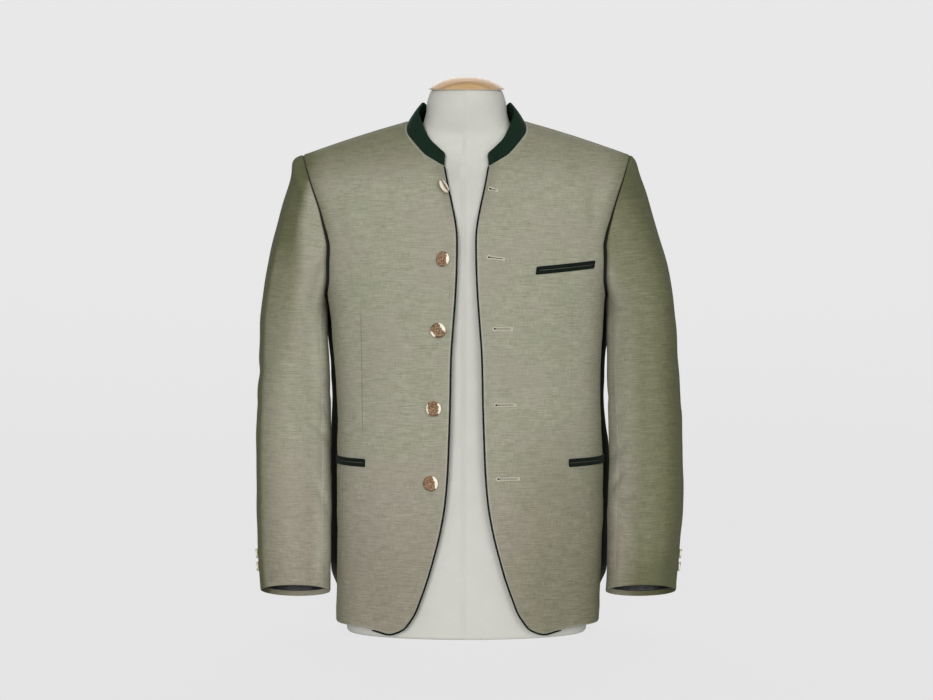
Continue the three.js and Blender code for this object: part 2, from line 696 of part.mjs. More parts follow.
function addCollar() {
  const halves = SIDES.map((side) =>
    collarBase(side).map((p) => new THREE.Vector3(side.sign * p.x, p.y, p.z)),
  );
  const [left, right] = halves;
  const base = [...left, ...right.slice(0, -1).reverse()];
  const up = new THREE.Vector3(0, 0, 1);
  const outer = [[], []];
  const inner = [[], []];
  base.forEach((point, i) => {
    const place = 1 - Math.abs((2 * i) / (base.length - 1) - 1);
    const { height, lean } = collarRow(place);
    const inward = new THREE.Vector3(-point.x, NECK_MIDDLE_Y - point.y, 0).normalize();
    const along = inward.clone().cross(up);
    const rise = up.clone().multiplyScalar(Math.cos(radians(lean)));
    rise.addScaledVector(inward, Math.sin(radians(lean)));
    const thick = inward.clone().multiplyScalar(Math.cos(radians(lean)));
    thick.addScaledVector(up, -Math.sin(radians(lean)));
    const low = point.clone().addScaledVector(rise, SEAM_GAP + 0.3);
    if (i === 0 || i === base.length - 1) low.addScaledVector(along, i === 0 ? 0.3 : -0.3);
    const high = low.clone().addScaledVector(rise, height);
    low.addScaledVector(up, COLLAR_WALL * Math.sin(radians(lean)) * 0.5);
    [low, high].forEach((p, row) => {
      outer[row].push(p);
      inner[row].push(p.clone().addScaledVector(thick, COLLAR_WALL));
    });
  });
  addMesh(jacket, "collar", wallGeometry(outer, inner), "felt");
}

// ---------------------------------------------------------------- piping
// The piping lies along the edge of the front, on the same stations as the panel's border.
function addPiping(side) {
  const surface = wornBody(side.name);
  const hem = frontPanel[0].filter((p) => plainBody(p.x, p.y).x < PIPING_HEM_END + 6);
  const edge = frontPanel.slice(1, EDGE_ROWS).map((row) => row[0]);
  const places = [...hem.reverse(), ...edge];
  const points = places.map((p) => surface(p.x, p.y));
  const normals = places.map((p) => surfaceNormal(surface, p.x, p.y));
  const rings = points.map((point, i) => {
    const before = points[Math.max(0, i - 1)];
    const after = points[Math.min(points.length - 1, i + 1)];
    const along = after.clone().sub(before).normalize();
    const normal = normals[i];
    const away = along.clone().cross(normal).negate().normalize();
    const reach = PIPING_RADIUS + SEAM_GAP;
    const middle = point.clone().addScaledVector(normal, -CLOTH_WALL / 2).addScaledVector(away, reach);
    return Array.from({ length: 6 }, (_, k) => {
      const turn = (k * Math.PI) / 3;
      return middle
        .clone()
        .addScaledVector(normal, PIPING_RADIUS * Math.cos(turn))
        .addScaledVector(away, -PIPING_RADIUS * Math.sin(turn));
    });
  });
  const shaped = side.sign > 0 ? rings : mirrored(rings);
  addMesh(jacket, `edge_piping_${side.name}`, tubeGeometry(shaped), "piping");
}

// ---------------------------------------------------------------- pockets
// A lip is a strip that lies on the front between two heights.
function addLip(side, name, from, to, low, high) {
  const surface = wornBody(side.name);
  const steps = 12;
  const grids = [RESTING_GAP + LIP.wall, RESTING_GAP].map((raise) =>
    [low, high].map((offset) =>
      Array.from({ length: steps + 1 }, (_, i) => {
        const girth = mix(from.x, to.x, i / steps);
        const height = mix(from.y, to.y, i / steps) + offset;
        return surface(girth, height).addScaledVector(surfaceNormal(surface, girth, height), raise);
      }),
    ),
  );
  addMesh(jacket, name, wallGeometry(forSide(side, grids[0]), forSide(side, grids[1])), "piping");
}

function addPocket(side, name, from, to) {
  const { height, slit } = LIP;
  addLip(side, `${name}_upper_lip`, from, to, slit / 2, slit / 2 + height);
  addLip(side, `${name}_lower_lip`, from, to, -slit / 2 - height, -slit / 2);
}

// ---------------------------------------------------------------- buttons
function buttonGeometry({ radius, thickness, dish }) {
  const profile = [
    [0, 0], [radius * 0.86, 0], [radius, thickness * 0.4], [radius * 0.95, thickness * 0.85],
    [radius * 0.8, thickness], [radius * 0.68, thickness - dish], [0, thickness - dish * 0.6],
  ];
  const points = profile.map(([r, z]) => new THREE.Vector2(r, z));
  return new THREE.LatheGeometry(points, 16).rotateX(Math.PI / 2);
}

function addButton(name, point, normal, size) {
  const button = addMesh(jacket, name, buttonGeometry(size), "horn");
  button.position.copy(point).addScaledVector(normal, RESTING_GAP);
  button.quaternion.setFromUnitVectors(new THREE.Vector3(0, 0, 1), normal);
}

function addFrontButtons() {
  const surface = wornBody("right");
  FRONT_BUTTONS.forEach(([x, z], i) => {
    const { x: girth, y: height } = onBody(x, z);
    const point = surface(girth, height);
    const normal = surfaceNormal(surface, girth, height);
    const turn = radians(FRONT_BUTTON_TURNS[i]);
    point.addScaledVector(normal, FRONT_BUTTON.radius * Math.sin(turn) * 0.4);
    normal.applyAxisAngle(new THREE.Vector3(0, 0, 1), -turn);
    const flip = new THREE.Vector3(-1, 1, 1);
    addButton(`button_${i + 1}`, point.multiply(flip), normal.multiply(flip), FRONT_BUTTON);
  });
}

function addCuffButtons(side) {
  CUFF_BUTTONS.heights.forEach((height, i) => {
    const point = sleeveSection(side, CUFF_BUTTONS.angle, height);
    const beside = sleeveSection(side, CUFF_BUTTONS.angle + 1, height).sub(point);
    const above = sleeveSection(side, CUFF_BUTTONS.angle, height + 1).sub(point);
    const normal = beside.cross(above).normalize();
    const flip = new THREE.Vector3(side.sign, 1, 1);
    addButton(`cuff_button_${side.name}_${i + 1}`, point.multiply(flip), normal.multiply(flip), CUFF_BUTTON);
  });
}

// ---------------------------------------------------------------- the dress form
function addTorso() {
  const { degrees, from, to, middleY } = NECK_LEAN;
  const rings = FORM_HEIGHTS.map((height) =>
    Array.from({ length: FORM_SIDES }, (_, i) => {
      const point = sectionPoint(formRow(height), FORM_SIDE_Y, (4 * i) / FORM_SIDES, height, 0.85, 1);
      const leant = Math.tan(radians(degrees)) * fade((height - from) / (to - from));
      return point.setZ(point.z + (point.y - middleY) * leant);
    }),
  );
  addMesh(dressForm, "form_torso", tubeGeometry(rings), "cover");
}

function addNeckCap() {
  const { radius, gap, rim, height, dome, undercut } = NECK_CAP;
  const curve = Array.from({ length: 9 }, (_, i) => {
    const out = 1 - (i / 8) ** 1.3;
    return new THREE.Vector2(radius * out, rim + (height - rim) * (1 - out ** dome));
  });
  const underside = [new THREE.Vector2(0, 0), new THREE.Vector2(radius - undercut, 0)];
  const geometry = new THREE.LatheGeometry([...underside, ...curve], 28).rotateX(Math.PI / 2);
  const cap = addMesh(dressForm, "form_neck_cap", geometry, "wood");
  cap.position.set(0, NECK_LEAN.middleY, NECK_LEAN.to + gap);
  cap.rotation.x = radians(NECK_LEAN.degrees);
}

// ---------------------------------------------------------------- assembly
for (const side of SIDES) {
  addBodyPanel(side, `front_${side.name}`, frontPanel);
  addBodyPanel(side, `back_${side.name}`, backPanel);
  addSleeve(side);
  addPiping(side);
  const start = onBody(...HIP_POCKET.inner);
  const end = new THREE.Vector2(HIP_POCKET.outerGirth, start.y + HIP_POCKET.rise);
  addPocket(side, `hip_pocket_${side.name}`, start, end);
  addCuffButtons(side);
}
addCollar();
addPocket(SIDES[0], "breast_pocket", onBody(...BREAST_POCKET.inner), onBody(...BREAST_POCKET.outer));
addFrontButtons();
addTorso();
addNeckCap();

const dressedForm = new THREE.Group();
dressedForm.add(jacket, dressForm);
export default dressedForm;
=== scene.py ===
# %% [markdown]
# # A linen jacket on a dress form
# The solid model says where everything is: panels, sleeves, collar, buttons and the form. This
# lesson keeps every one of those places and makes each surface again with the detail that cloth,
# felt, horn and wood have. All measures below are in millimetres, and a mesh is turned into
# metres when it is made.

# %% Load the fixed frame
import json
import math

import bpy
import numpy as np
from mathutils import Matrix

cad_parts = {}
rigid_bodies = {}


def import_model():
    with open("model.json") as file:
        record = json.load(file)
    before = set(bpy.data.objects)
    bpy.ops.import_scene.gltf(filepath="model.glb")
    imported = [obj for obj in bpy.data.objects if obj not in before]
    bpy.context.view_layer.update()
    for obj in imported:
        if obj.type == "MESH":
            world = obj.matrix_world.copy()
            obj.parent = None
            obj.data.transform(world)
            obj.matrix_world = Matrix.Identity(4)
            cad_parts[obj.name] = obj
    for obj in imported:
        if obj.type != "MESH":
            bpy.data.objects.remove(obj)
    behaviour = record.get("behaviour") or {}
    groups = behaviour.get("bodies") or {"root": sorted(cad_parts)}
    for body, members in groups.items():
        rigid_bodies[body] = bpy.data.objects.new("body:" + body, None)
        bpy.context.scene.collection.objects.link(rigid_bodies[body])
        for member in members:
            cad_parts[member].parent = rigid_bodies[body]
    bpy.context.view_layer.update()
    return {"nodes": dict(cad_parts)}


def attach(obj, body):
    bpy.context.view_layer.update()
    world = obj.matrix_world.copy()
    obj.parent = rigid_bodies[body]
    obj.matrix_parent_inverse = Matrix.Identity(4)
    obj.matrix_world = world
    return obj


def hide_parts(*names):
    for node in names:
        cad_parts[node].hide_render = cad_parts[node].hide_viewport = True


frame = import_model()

print("solid parts:", len(frame["nodes"]))

# %% [markdown]
# ## Reading sizes smoothly
# A tailor's pattern gives a few measures and draws smooth curves between them. `table` does the
# same: it reads rows of measures with a cubic through each column. `cut_line` draws a curve through
# the points of a cut line and walks it by its length on the body.

# %% Tables, blends and folds
def mix(a, b, t):
    return a + (b - a) * t


def fade(t):
    t = np.clip(t, 0.0, 1.0)
    return t * t * (3 - 2 * t)


def bell(distance, width):
    return np.exp(-((distance / width) ** 2))


def unit(v):
    return v / np.maximum(np.linalg.norm(v, axis=-1, keepdims=True), 1e-9)


def distance_along(points, axis=0):
    """The distance walked to each point, along a line of points or along each line of a grid."""
    steps = np.linalg.norm(np.diff(points, axis=axis), axis=-1)
    return np.concatenate([np.zeros_like(np.take(steps, [0], axis)), np.cumsum(steps, axis=axis)], axis=axis)


def table(rows):
    rows = np.array(rows, float)
    keys, values = rows[:, 0], rows[:, 1:]
    last = len(rows) - 1
    below, above = np.maximum(np.arange(last + 1) - 1, 0), np.minimum(np.arange(last + 1) + 1, last)
    slopes = (values[above] - values[below]) / (keys[above] - keys[below])[:, None]

    def read(key):
        key = np.clip(np.asarray(key, float), keys[0], keys[-1])
        k = np.clip(np.searchsorted(keys, key), 1, last)
        span = (keys[k] - keys[k - 1])[..., None]
        t = (key - keys[k - 1])[..., None] / span
        result = (
            values[k - 1] * (2 * t**3 - 3 * t**2 + 1) + slopes[k - 1] * span * (t**3 - 2 * t**2 + t)
            + values[k] * (3 * t**2 - 2 * t**3) + slopes[k] * span * (t**3 - t**2)
        )
        return np.moveaxis(result, -1, 0)

    return read


# A fold is (across, up, half length, half width, depth inwards, lean in degrees).
def fold_depth(folds, across, up):
    total = 0.0
    for place, height, length, width, depth, lean in folds:
        turn = math.radians(lean)
        dx, dz = across(place), up - height
        along = dz * math.cos(turn) + dx * math.sin(turn)
        aside = dx * math.cos(turn) - dz * math.sin(turn)
        total = total + depth * np.exp(-((along / length) ** 2) - (aside / width) ** 2)
    return total


# Low uneven hills, as any worn cloth has. The seed keeps them the same each time.
def hills(seed, across, up, height, spread):
    dice = np.random.default_rng(seed)
    total = 0.0
    for _ in range(9):
        turn, phase = dice.uniform(0, math.pi), dice.uniform(0, 2 * math.pi)
        wave = spread * dice.uniform(0.6, 1.7)
        total = total + np.sin((across * math.cos(turn) + up * math.sin(turn)) * 2 * math.pi / wave + phase)
    return height * total / 3


print("halfway up a table from 2 to 4:", float(table([[0, 2], [1, 4]])(0.5)[0]))

# %% [markdown]
# ## The worn body
# The jacket's shape is a stack of level sections, a little squarer than an ellipse, whose shoulder
# falls towards the side. A point is given by its girth, from 0 at centre front over 1 at the side to
# 2 at centre back, and its height. These are the same measures as the solid's, so the cloth lies
# exactly where the solid is.

# %% The body's surface
SIDE_Y = 8
SHOULDER = 750
UNDERARM = 478
SIDE_SEAM = 1.05
body_row = table([
    [0, 0, 189, 120, 116], [110, 0, 190, 122, 122], [240, 0, 188, 123, 112], [325, 0, 187, 122, 99],
    [410, 0, 191, 123, 106], [478, 0, 199, 124, 117], [540, 0, 212, 118, 121], [600, 4, 220, 104, 118],
    [655, 19, 229, 82, 100], [712, 44, 234, 44, 62], [738, 60, 236, 21, 36], [SHOULDER, 66, 236, -8, 8],
])
FRONT_EDGE = [
    [84, 20], [73, 36.5], [64.5, 58], [57.5, 78], [51, 99], [40, 140], [32, 182], [28, 223], [26, 264],
    [24, 326], [22.7, 388], [20, 430], [17, 471], [15, 512], [14.5, 554], [16, 575], [19.4, 596],
    [23.6, 617], [28, 639], [32, 662],
]
edge_at = table([[z, x] for x, z in FRONT_EDGE])


def section(girth, height, drop, width, front, back, side_y, power, slope):
    across, forward = np.sin(girth * math.pi / 2), np.cos(girth * math.pi / 2)
    reach = np.where(forward > 0, front + side_y, back - side_y)
    return np.stack([
        width * across,
        side_y - reach * np.sign(forward) * np.abs(forward) ** power,
        height - drop * np.abs(across) ** slope,
    ], axis=-1)


def plain_body(girth, height):
    height = np.minimum(height, SHOULDER)
    return section(girth, height, *body_row(height), SIDE_Y, 0.65, 1.3)


BODY_FOLDS = {
    "left": [
        (183, 612, 38, 13, 4.5, 12), (120, 590, 70, 26, -2, 20), (150, 372, 95, 24, 2.6, -3),
        (120, 170, 80, 34, -2.2, 10),
    ],
    "right": [(186, 606, 40, 14, 3.2, 10), (148, 378, 100, 24, 2.4, 2), (112, 165, 90, 36, -2, 6)],
}
# Finer creases than the solid has: drag lines at the armhole, the waist and above the pockets.
BODY_CREASES = {
    "left": [
        (168, 560, 34, 6, 0.9, 38), (176, 535, 26, 5, 0.7, 52), (98, 640, 46, 12, 0.9, -32),
        (60, 470, 60, 16, 0.7, 62), (118, 330, 52, 10, 0.7, -58), (92, 262, 60, 14, 0.8, 76),
        (165, 300, 40, 8, 0.8, 16), (70, 120, 70, 14, 0.8, 22), (140, 110, 60, 12, -0.7, -6),
        (40, 560, 60, 9, 0.7, 8), (160, 440, 44, 9, 0.8, -22), (108, 700, 30, 12, 1.0, 66),
    ],
    "right": [
        (170, 556, 32, 6, 0.9, 34), (178, 528, 24, 5, 0.7, 56), (104, 636, 50, 12, 0.8, -26),
        (64, 486, 56, 15, 0.7, 66), (120, 342, 50, 10, 0.7, -52), (88, 256, 56, 14, 0.8, 80),
        (166, 310, 44, 8, 0.9, 12), (74, 130, 64, 15, 0.8, 26), (146, 96, 56, 12, -0.7, -8),
        (44, 566, 56, 9, 0.6, 10), (158, 452, 40, 9, 0.7, -26), (112, 694, 30, 12, 0.9, 62),
    ],
}
BACK_CREASES = {
    "left": [
        (178, 590, 60, 12, 2.2, -12), (150, 620, 70, 16, 1.4, -22), (90, 690, 60, 12, 0.9, 74),
        (60, 400, 80, 20, 1.6, 72), (120, 372, 70, 14, 1.5, -64), (70, 352, 60, 10, 0.9, 80),
        (120, 180, 110, 26, 1.6, 5), (50, 130, 100, 22, -1.4, -4), (160, 280, 60, 12, 1.1, 12),
    ],
    "right": [
        (176, 598, 56, 12, 2.0, -14), (146, 612, 66, 15, 1.5, -18), (84, 684, 60, 12, 0.9, 70),
        (66, 410, 84, 18, 1.5, 76), (126, 366, 66, 14, 1.6, -60), (74, 344, 56, 10, 0.9, 84),
        (112, 190, 100, 26, 1.7, 7), (46, 120, 100, 20, -1.4, -2), (164, 270, 56, 12, 1.0, 9),
    ],
}


# How far each side of the jacket hangs out at the waist and hips, and how far its back swells behind
# the side seam, by height.
SIDE_HANG = {
    "left": table([[0, 0], [40, 1.5], [100, 4], [225, 8], [330, 5.5], [430, 2.5], [478, 0], [750, 0]]),
    "right": table([[0, -2], [40, -2.5], [100, -4.5], [225, -2.4], [330, -1.4], [400, 0.6], [478, 0], [750, 0]]),
}
BACK_SWELL = {
    "left": table([[0, 0], [44, 0], [62, 9], [82, 17], [150, 18.5], [225, 20], [270, 19], [301, 15.5], [359, 14],
                   [388, 14.5], [412, 17], [450, 17], [478, 12], [505, 4], [530, 0], [750, 0]]),
    "right": table([[0, 0], [44, 0], [62, 9], [82, 17], [150, 18.5], [230, 18.5], [270, 18], [312, 16.5],
                    [357, 15.5], [390, 14], [416, 15], [450, 17], [478, 13], [505, 5], [530, 0], [750, 0]]),
}


def worn_body(side, girth, height):
    point = plain_body(girth, height)
    x, z = point[..., 0], point[..., 2]
    hang = SIDE_HANG[side](height)[0] * bell(girth - 1.0, 0.3)
    swell = BACK_SWELL[side](height)[0] * fade((girth - 1.045) / 0.05) * bell(girth - 1.15, 0.075)
    point[..., 0] += hang + swell
    front = girth <= 1
    from_edge = np.maximum(0, x - edge_at(z)[0]) / 22
    roll = 16 * fade((z - 540) / 110) * np.maximum(0, 1 - from_edge) ** 2
    point[..., 1] += np.where(front, roll, 0)
    across = lambda place: x - place
    sunk = np.where(front, fold_depth(BODY_FOLDS[side] + BODY_CREASES[side], across, z),
                    1.5 * fold_depth(BACK_CREASES[side], across, z))
    near_edge = fade(from_edge * 1.4) * fade((SHOULDER - height) / 30)
    still = np.where(front, near_edge, 1) * fade(np.abs(girth - SIDE_SEAM) / 0.06)
    still = still * fade(np.abs(2 - girth) / 0.05)
    sunk = sunk * np.where(front, 1, fade((SHOULDER - height) / 40))
    around = girth * 190
    rolling = hills(11 if side == "left" else 29, around, z, 0.42, 74)
    rolling = rolling + hills(17 if side == "left" else 31, around * 0.7, z, 0.16, 27)
    away = unit(np.stack([x * 0.6, point[..., 1] - SIDE_Y, 0 * x], axis=-1))
    return point + away * (rolling * still - sunk)[..., None]


def worn_normal(side, girth, height):
    before, after = worn_body(side, girth - 0.004, height), worn_body(side, girth + 0.004, height)
    lower, higher = worn_body(side, girth, height - 1.2), worn_body(side, girth, height + 1.2)
    return unit(np.cross(after - before, higher - lower))


def on_body(x, z, behind=False):
    low, high = np.zeros(np.shape(x)), np.full(np.shape(x), float(SHOULDER))
    for _ in range(40):
        middle = (low + high) / 2
        drop, width = body_row(middle)[:2]
        short = middle - drop * (x / width) ** 1.3 < z
        low, high = np.where(short, middle, low), np.where(short, high, middle)
    girth = np.arcsin(np.minimum(1, x / body_row(low)[1])) / (math.pi / 2)
    return np.stack([2 - girth if behind else girth, low], axis=-1)


print("body: waist half width", float(body_row(325)[1]), "mm")


# %% Cut lines
def cut_line(points):
    points = np.array(points, float)
    count = len(points)
    run = np.linspace(0, count - 1, 1601)
    k = np.minimum(run.astype(int), count - 1)
    t = (run - k)[:, None]
    at = lambda step: points[np.clip(k + step, 0, count - 1)]
    p1, p2 = at(0), at(1)
    v0, v1 = (p2 - at(-1)) / 2, (at(2) - p1) / 2
    fine = (2 * p1 - 2 * p2 + v0 + v1) * t**3 + (-3 * p1 + 3 * p2 - 2 * v0 - v1) * t**2 + v0 * t + p1
    walk = plain_body(fine[:, 0], fine[:, 1])
    gone = distance_along(walk)
    gone /= gone[-1]
    return lambda part: np.stack([np.interp(part, gone, fine[:, c]) for c in (0, 1)], axis=-1)


def drawn(places, behind=False):
    return [on_body(x, z, behind) for x, z in places]


tip_front = np.array([on_body(235, 684)[0], SHOULDER])
tip_back = np.array([2 - tip_front[0], SHOULDER])
neck_front = np.array([on_body(84, 732)[0], SHOULDER])
neck_back = np.array([2 - neck_front[0], SHOULDER])
underarm = np.array([SIDE_SEAM, UNDERARM])
side_hem, back_hem = np.array([SIDE_SEAM, 16.0]), np.array([2.0, 18.0])

front_edge = cut_line(drawn(FRONT_EDGE))
front_neck = cut_line(drawn([[32, 662], [45, 669], [60, 679], [76, 698], [85, 714]]) + [neck_front])
back_neck = cut_line([neck_back] + drawn([[75, 727], [60, 723], [30, 719.5], [0, 719]], True))
front_hem = cut_line(drawn([[84, 20], [90, 14.5], [107, 8.3], [124, 11.7], [146, 15], [168, 16]]) + [side_hem])
side_seam = cut_line([side_hem, underarm])
front_armhole = cut_line([underarm, np.array([0.93, 483])] + drawn(
    [[197, 500], [197, 541], [199, 561], [206, 590], [216, 622], [226, 650]]) + [tip_front])
back_armhole = cut_line([underarm, np.array([1.12, 484])] + drawn(
    [[199, 500], [200, 541], [204, 561], [210, 590], [218, 622], [227, 650]], True) + [tip_back])
back_bottom = cut_line([side_hem, back_hem])
back_centre = cut_line([back_hem, back_neck(1.0)])
front_top, back_top = cut_line([neck_front, tip_front]), cut_line([tip_back, neck_back])
print("cut lines drawn: 11")

# %% [markdown]
# ## Cloth as a thin shell
# Cloth could be a single sheet, but then a hem or a cuff shows no thickness. Here each piece is a
# grid of points on the body, a second grid one cloth thickness inside, and a rounded edge between
# them. Lines crowd together beside the seams, where the cloth dips into a narrow groove and rises
# into a soft ridge over the turned-in allowance, so a seam shows as it does on a pressed jacket.

# %% Shells
LINEN_WALL = 1.8
SEAM_GAP = 0.2


def spaced(count, size, corners=()):
    """Even steps from 0 to 1 that pass through the corners, and crowd at both ends."""
    close = np.array([0.5, 1.1, 1.9, 3.0, 4.4]) / size
    stops = [0, *corners, 1]
    parts = [np.linspace(a, b, max(2, round(count * (b - a)) + 1)) for a, b in zip(stops, stops[1:])]
    steps = np.unique(np.round(np.concatenate(parts), 9))
    steps = steps[((steps > close[-1] * 1.3) & (steps < 1 - close[-1] * 1.3)) | (steps == 0) | (steps == 1)]
    return np.sort(np.concatenate([steps, close, 1 - close]))


def grid_normals(grid, endless=False):
    if endless:
        around = np.roll(grid, -1, axis=1) - np.roll(grid, 1, axis=1)
    else:
        around = np.gradient(grid, axis=1)
    return unit(np.cross(around, np.gradient(grid, axis=0)))


def border_distances(grid):
    """How far each point is from the first and last column and the first and last row."""
    gaps = []
    for axis in (1, 0):
        gone = distance_along(grid, axis)
        gaps += [gone, np.take(gone, [-1], axis) - gone]
    return gaps


def seam_relief(distance, dip=0.5, ridge=0.28):
    return ridge * bell(distance - 3.4, 2.2) - dip * bell(distance, 0.8)


def border_steps(grid, gap, endless=False):
    move = np.zeros_like(grid)
    if not endless:
        move[:, 0] += unit(grid[:, 1] - grid[:, 0]) * gap
        move[:, -1] += unit(grid[:, -2] - grid[:, -1]) * gap
    move[0] += unit(grid[1] - grid[0]) * gap
    move[-1] += unit(grid[-2] - grid[-1]) * gap
    return move


def in_scene(name, data):
    thing = bpy.data.objects.new(name, data)
    bpy.context.scene.collection.objects.link(thing)
    return thing


def add_mesh(name, points, faces, uv=None, values=None):
    mesh = bpy.data.meshes.new(name)
    mesh.from_pydata((np.asarray(points) * 0.001).tolist(), [], faces)
    mesh.shade_smooth()
    if uv is not None:
        layer = mesh.uv_layers.new(name="cloth")
        corner = np.empty(len(mesh.loops), np.int32)
        mesh.loops.foreach_get("vertex_index", corner)
        layer.data.foreach_set("uv", (np.asarray(uv) * 0.001)[corner].astype(np.float32).ravel())
    for key, value in (values or {}).items():
        painted = mesh.attributes.new(key, "FLOAT", "POINT")
        painted.data.foreach_set("value", np.asarray(value, np.float32).ravel())
    return in_scene(name, mesh)


def add_shell(name, outer, inner, uv, endless=False, bulge=0.3, values=None):
    """A wall between two grids. Its inner side is lined, but for a strip of 30 mm along the borders."""
    rows, columns = outer.shape[:2]
    lined = np.minimum.reduce(border_distances(outer)) if not endless else np.zeros((rows, columns))
    index = np.arange(rows * columns).reshape(rows, columns)
    wide = np.concatenate([index, index[:, :1]], axis=1) if endless else index
    a, b, c, d = wide[:-1, :-1], wide[:-1, 1:], wide[1:, 1:], wide[1:, :-1]
    quads = np.stack([a, b, c, d], -1).reshape(-1, 4)
    faces = [quads, quads[:, ::-1] + rows * columns]
    if endless:
        loops = [index[0], index[-1][::-1]]
    else:
        loops = [np.concatenate([index[0, :-1], index[:-1, -1], index[-1, :0:-1], index[:0:-1, 0]])]
    points = [outer.reshape(-1, 3), inner.reshape(-1, 3)]
    outwards = -border_steps(outer, 1.0, endless).reshape(-1, 3)
    places = [uv.reshape(-1, 2), uv.reshape(-1, 2)]
    values = values or {}
    extra = [np.zeros(rows * columns)] + [value.reshape(-1) for value in values.values()]
    more = [[e, e] for e in extra]
    more[0][1] = fade((lined.reshape(-1) - 28) / 4)
    start = 2 * rows * columns
    for ring in loops:
        middle = (points[0][ring] + points[1][ring]) / 2 + unit(outwards[ring]) * bulge
        points.append(middle)
        places.append(places[0][ring])
        for k, e in enumerate(extra):
            more[k].append(e[ring])
        mid = start + np.arange(len(ring))
        after, mid_after = np.roll(ring, -1), np.roll(mid, -1)
        inside, inside_after = ring + rows * columns, after + rows * columns
        faces.append(np.stack([ring, mid, mid_after, after], -1))
        faces.append(np.stack([mid, inside, inside_after, mid_after], -1))
        start += len(ring)
    named = {k: np.concatenate(m) for k, m in zip(["lined", *values], more)}
    return add_mesh(name, np.concatenate(points), np.concatenate(faces).tolist(), np.concatenate(places), named)


def for_side(side, grid):
    """The same grid on the wearer's other side."""
    if side == "left":
        return grid
    turned = grid[:, ::-1].copy()
    turned[..., 0] *= -1
    return turned


def add_worn(side, name, outer, inner, cloth, values=None, **how):
    """A shell made for the wearer's left, or its mirror image on the right. The map stays as given."""
    if side == "right":
        values = {key: value[:, ::-1] for key, value in (values or {}).items()}
    return add_shell(name, for_side(side, outer), for_side(side, inner), cloth, values=values, **how)


print("linen wall:", LINEN_WALL, "mm, with seams", SEAM_GAP, "mm apart")

# %% [markdown]
# ## Fronts and backs
# Each panel is filled in between its four cut lines (a Coons patch). The weave needs to know where
# it is on the cloth, so every point also keeps its distance round the body and up it. A real jacket
# could be draped with a cloth simulation, but a tailored front is pressed to its shape and hangs from
# the shoulder, so listed folds keep the cut lines true.

# %% Body panels
girths, heights = np.linspace(0, 2, 161), np.linspace(0, SHOULDER, 151)
mesh_g, mesh_h = np.meshgrid(girths, heights)
flat_body = plain_body(mesh_g, mesh_h)
round_it, up_it = distance_along(flat_body, 1), distance_along(flat_body)


def on_cloth(girth, height):
    """Distance round and up the body of each place, read from the two tables."""
    gi = np.clip(girth * 80, 0, 159.999)
    hi = np.clip(height / 5, 0, 149.999)
    g0, h0 = gi.astype(int), hi.astype(int)
    tg, th = gi - g0, hi - h0
    along = lambda grid, row: mix(grid[row, g0], grid[row, g0 + 1], tg)
    return np.stack([mix(along(grid, h0), along(grid, h0 + 1), th) for grid in (round_it, up_it)], axis=-1)


def fill_panel(left, right, bottom, top, u, v):
    """Girth and height of every grid point between four cut lines."""
    l, r, b, t = left(v)[:, None], right(v)[:, None], bottom(u)[None], top(u)[None]
    u, v = u[None, :, None], v[:, None, None]
    corners = mix(mix(b[:, :1], b[:, -1:], u), mix(t[:, :1], t[:, -1:], u), v)
    return mix(l, r, u) + mix(b, t, v) - corners


def joined(first, second, split, total=25):
    """A border made of two cut lines that meet at a corner."""
    return lambda part: np.where((part * total <= split)[..., None],
                                 first(np.clip(part * total / split, 0, 1)),
                                 second(np.clip((part * total - split) / (total - split), 0, 1)))


centre_and_neck = joined(back_centre, lambda part: back_neck(1 - part), 19)
PANELS = {
    "front": fill_panel(joined(front_edge, front_neck, 19), joined(side_seam, front_armhole, 14),
                        front_hem, front_top, spaced(92, 160), spaced(262, 720, (0.56, 0.76))),
    "back": fill_panel(joined(side_seam, back_armhole, 14), centre_and_neck, back_bottom, back_top,
                       spaced(64, 170), spaced(210, 730, (0.56, 0.76))),
}


def soft_ridge(normal, height):
    """At the shoulder seam both walls turn nearly straight down, so they don't cross."""
    flat = unit(normal * np.array([1, 0.15, 1]))
    return unit(mix(normal, flat, fade((height - 744) / 6)[..., None]))


# The lower part of the armhole lies in a valley between the sleeve and the body. The seam is in
# shade all round, in a line that widens downwards.
def armpit_depth(z):
    return 5.0 * fade((612 - z) / 80)


shade_width = table([[430, 2.4], [488, 1.8], [560, 1.4], [624, 0.85], [660, 0.6], [SHOULDER, 0.5]])


def low_down(z):
    """1 near the hem and the cuffs, where a darker, warmer shade is painted, and 0 from the waist up."""
    return fade((340 - z) / 240)


def seam_shade(z, distance):
    return np.exp(-((distance / shade_width(z)[0]) ** 4)) * (1 - 0.35 * fade((z - 630) / 60))


breast = [on_body(96, 511.6), on_body(179, 522)]
hip_start = on_body(141, 244.5)
hip = [hip_start, np.array([1.03, hip_start[1] + 3])]


def behind_slit(ends, girth, height):
    """1 on the cloth behind a pocket's slit, which is in the shade of its lips."""
    part = (girth - ends[0][0]) / (ends[1][0] - ends[0][0])
    off = np.abs(height - mix(ends[0][1], ends[1][1], part))
    return fade((3.6 - off) / 1.6) * fade(part / 0.04) * fade((1 - part) / 0.04)


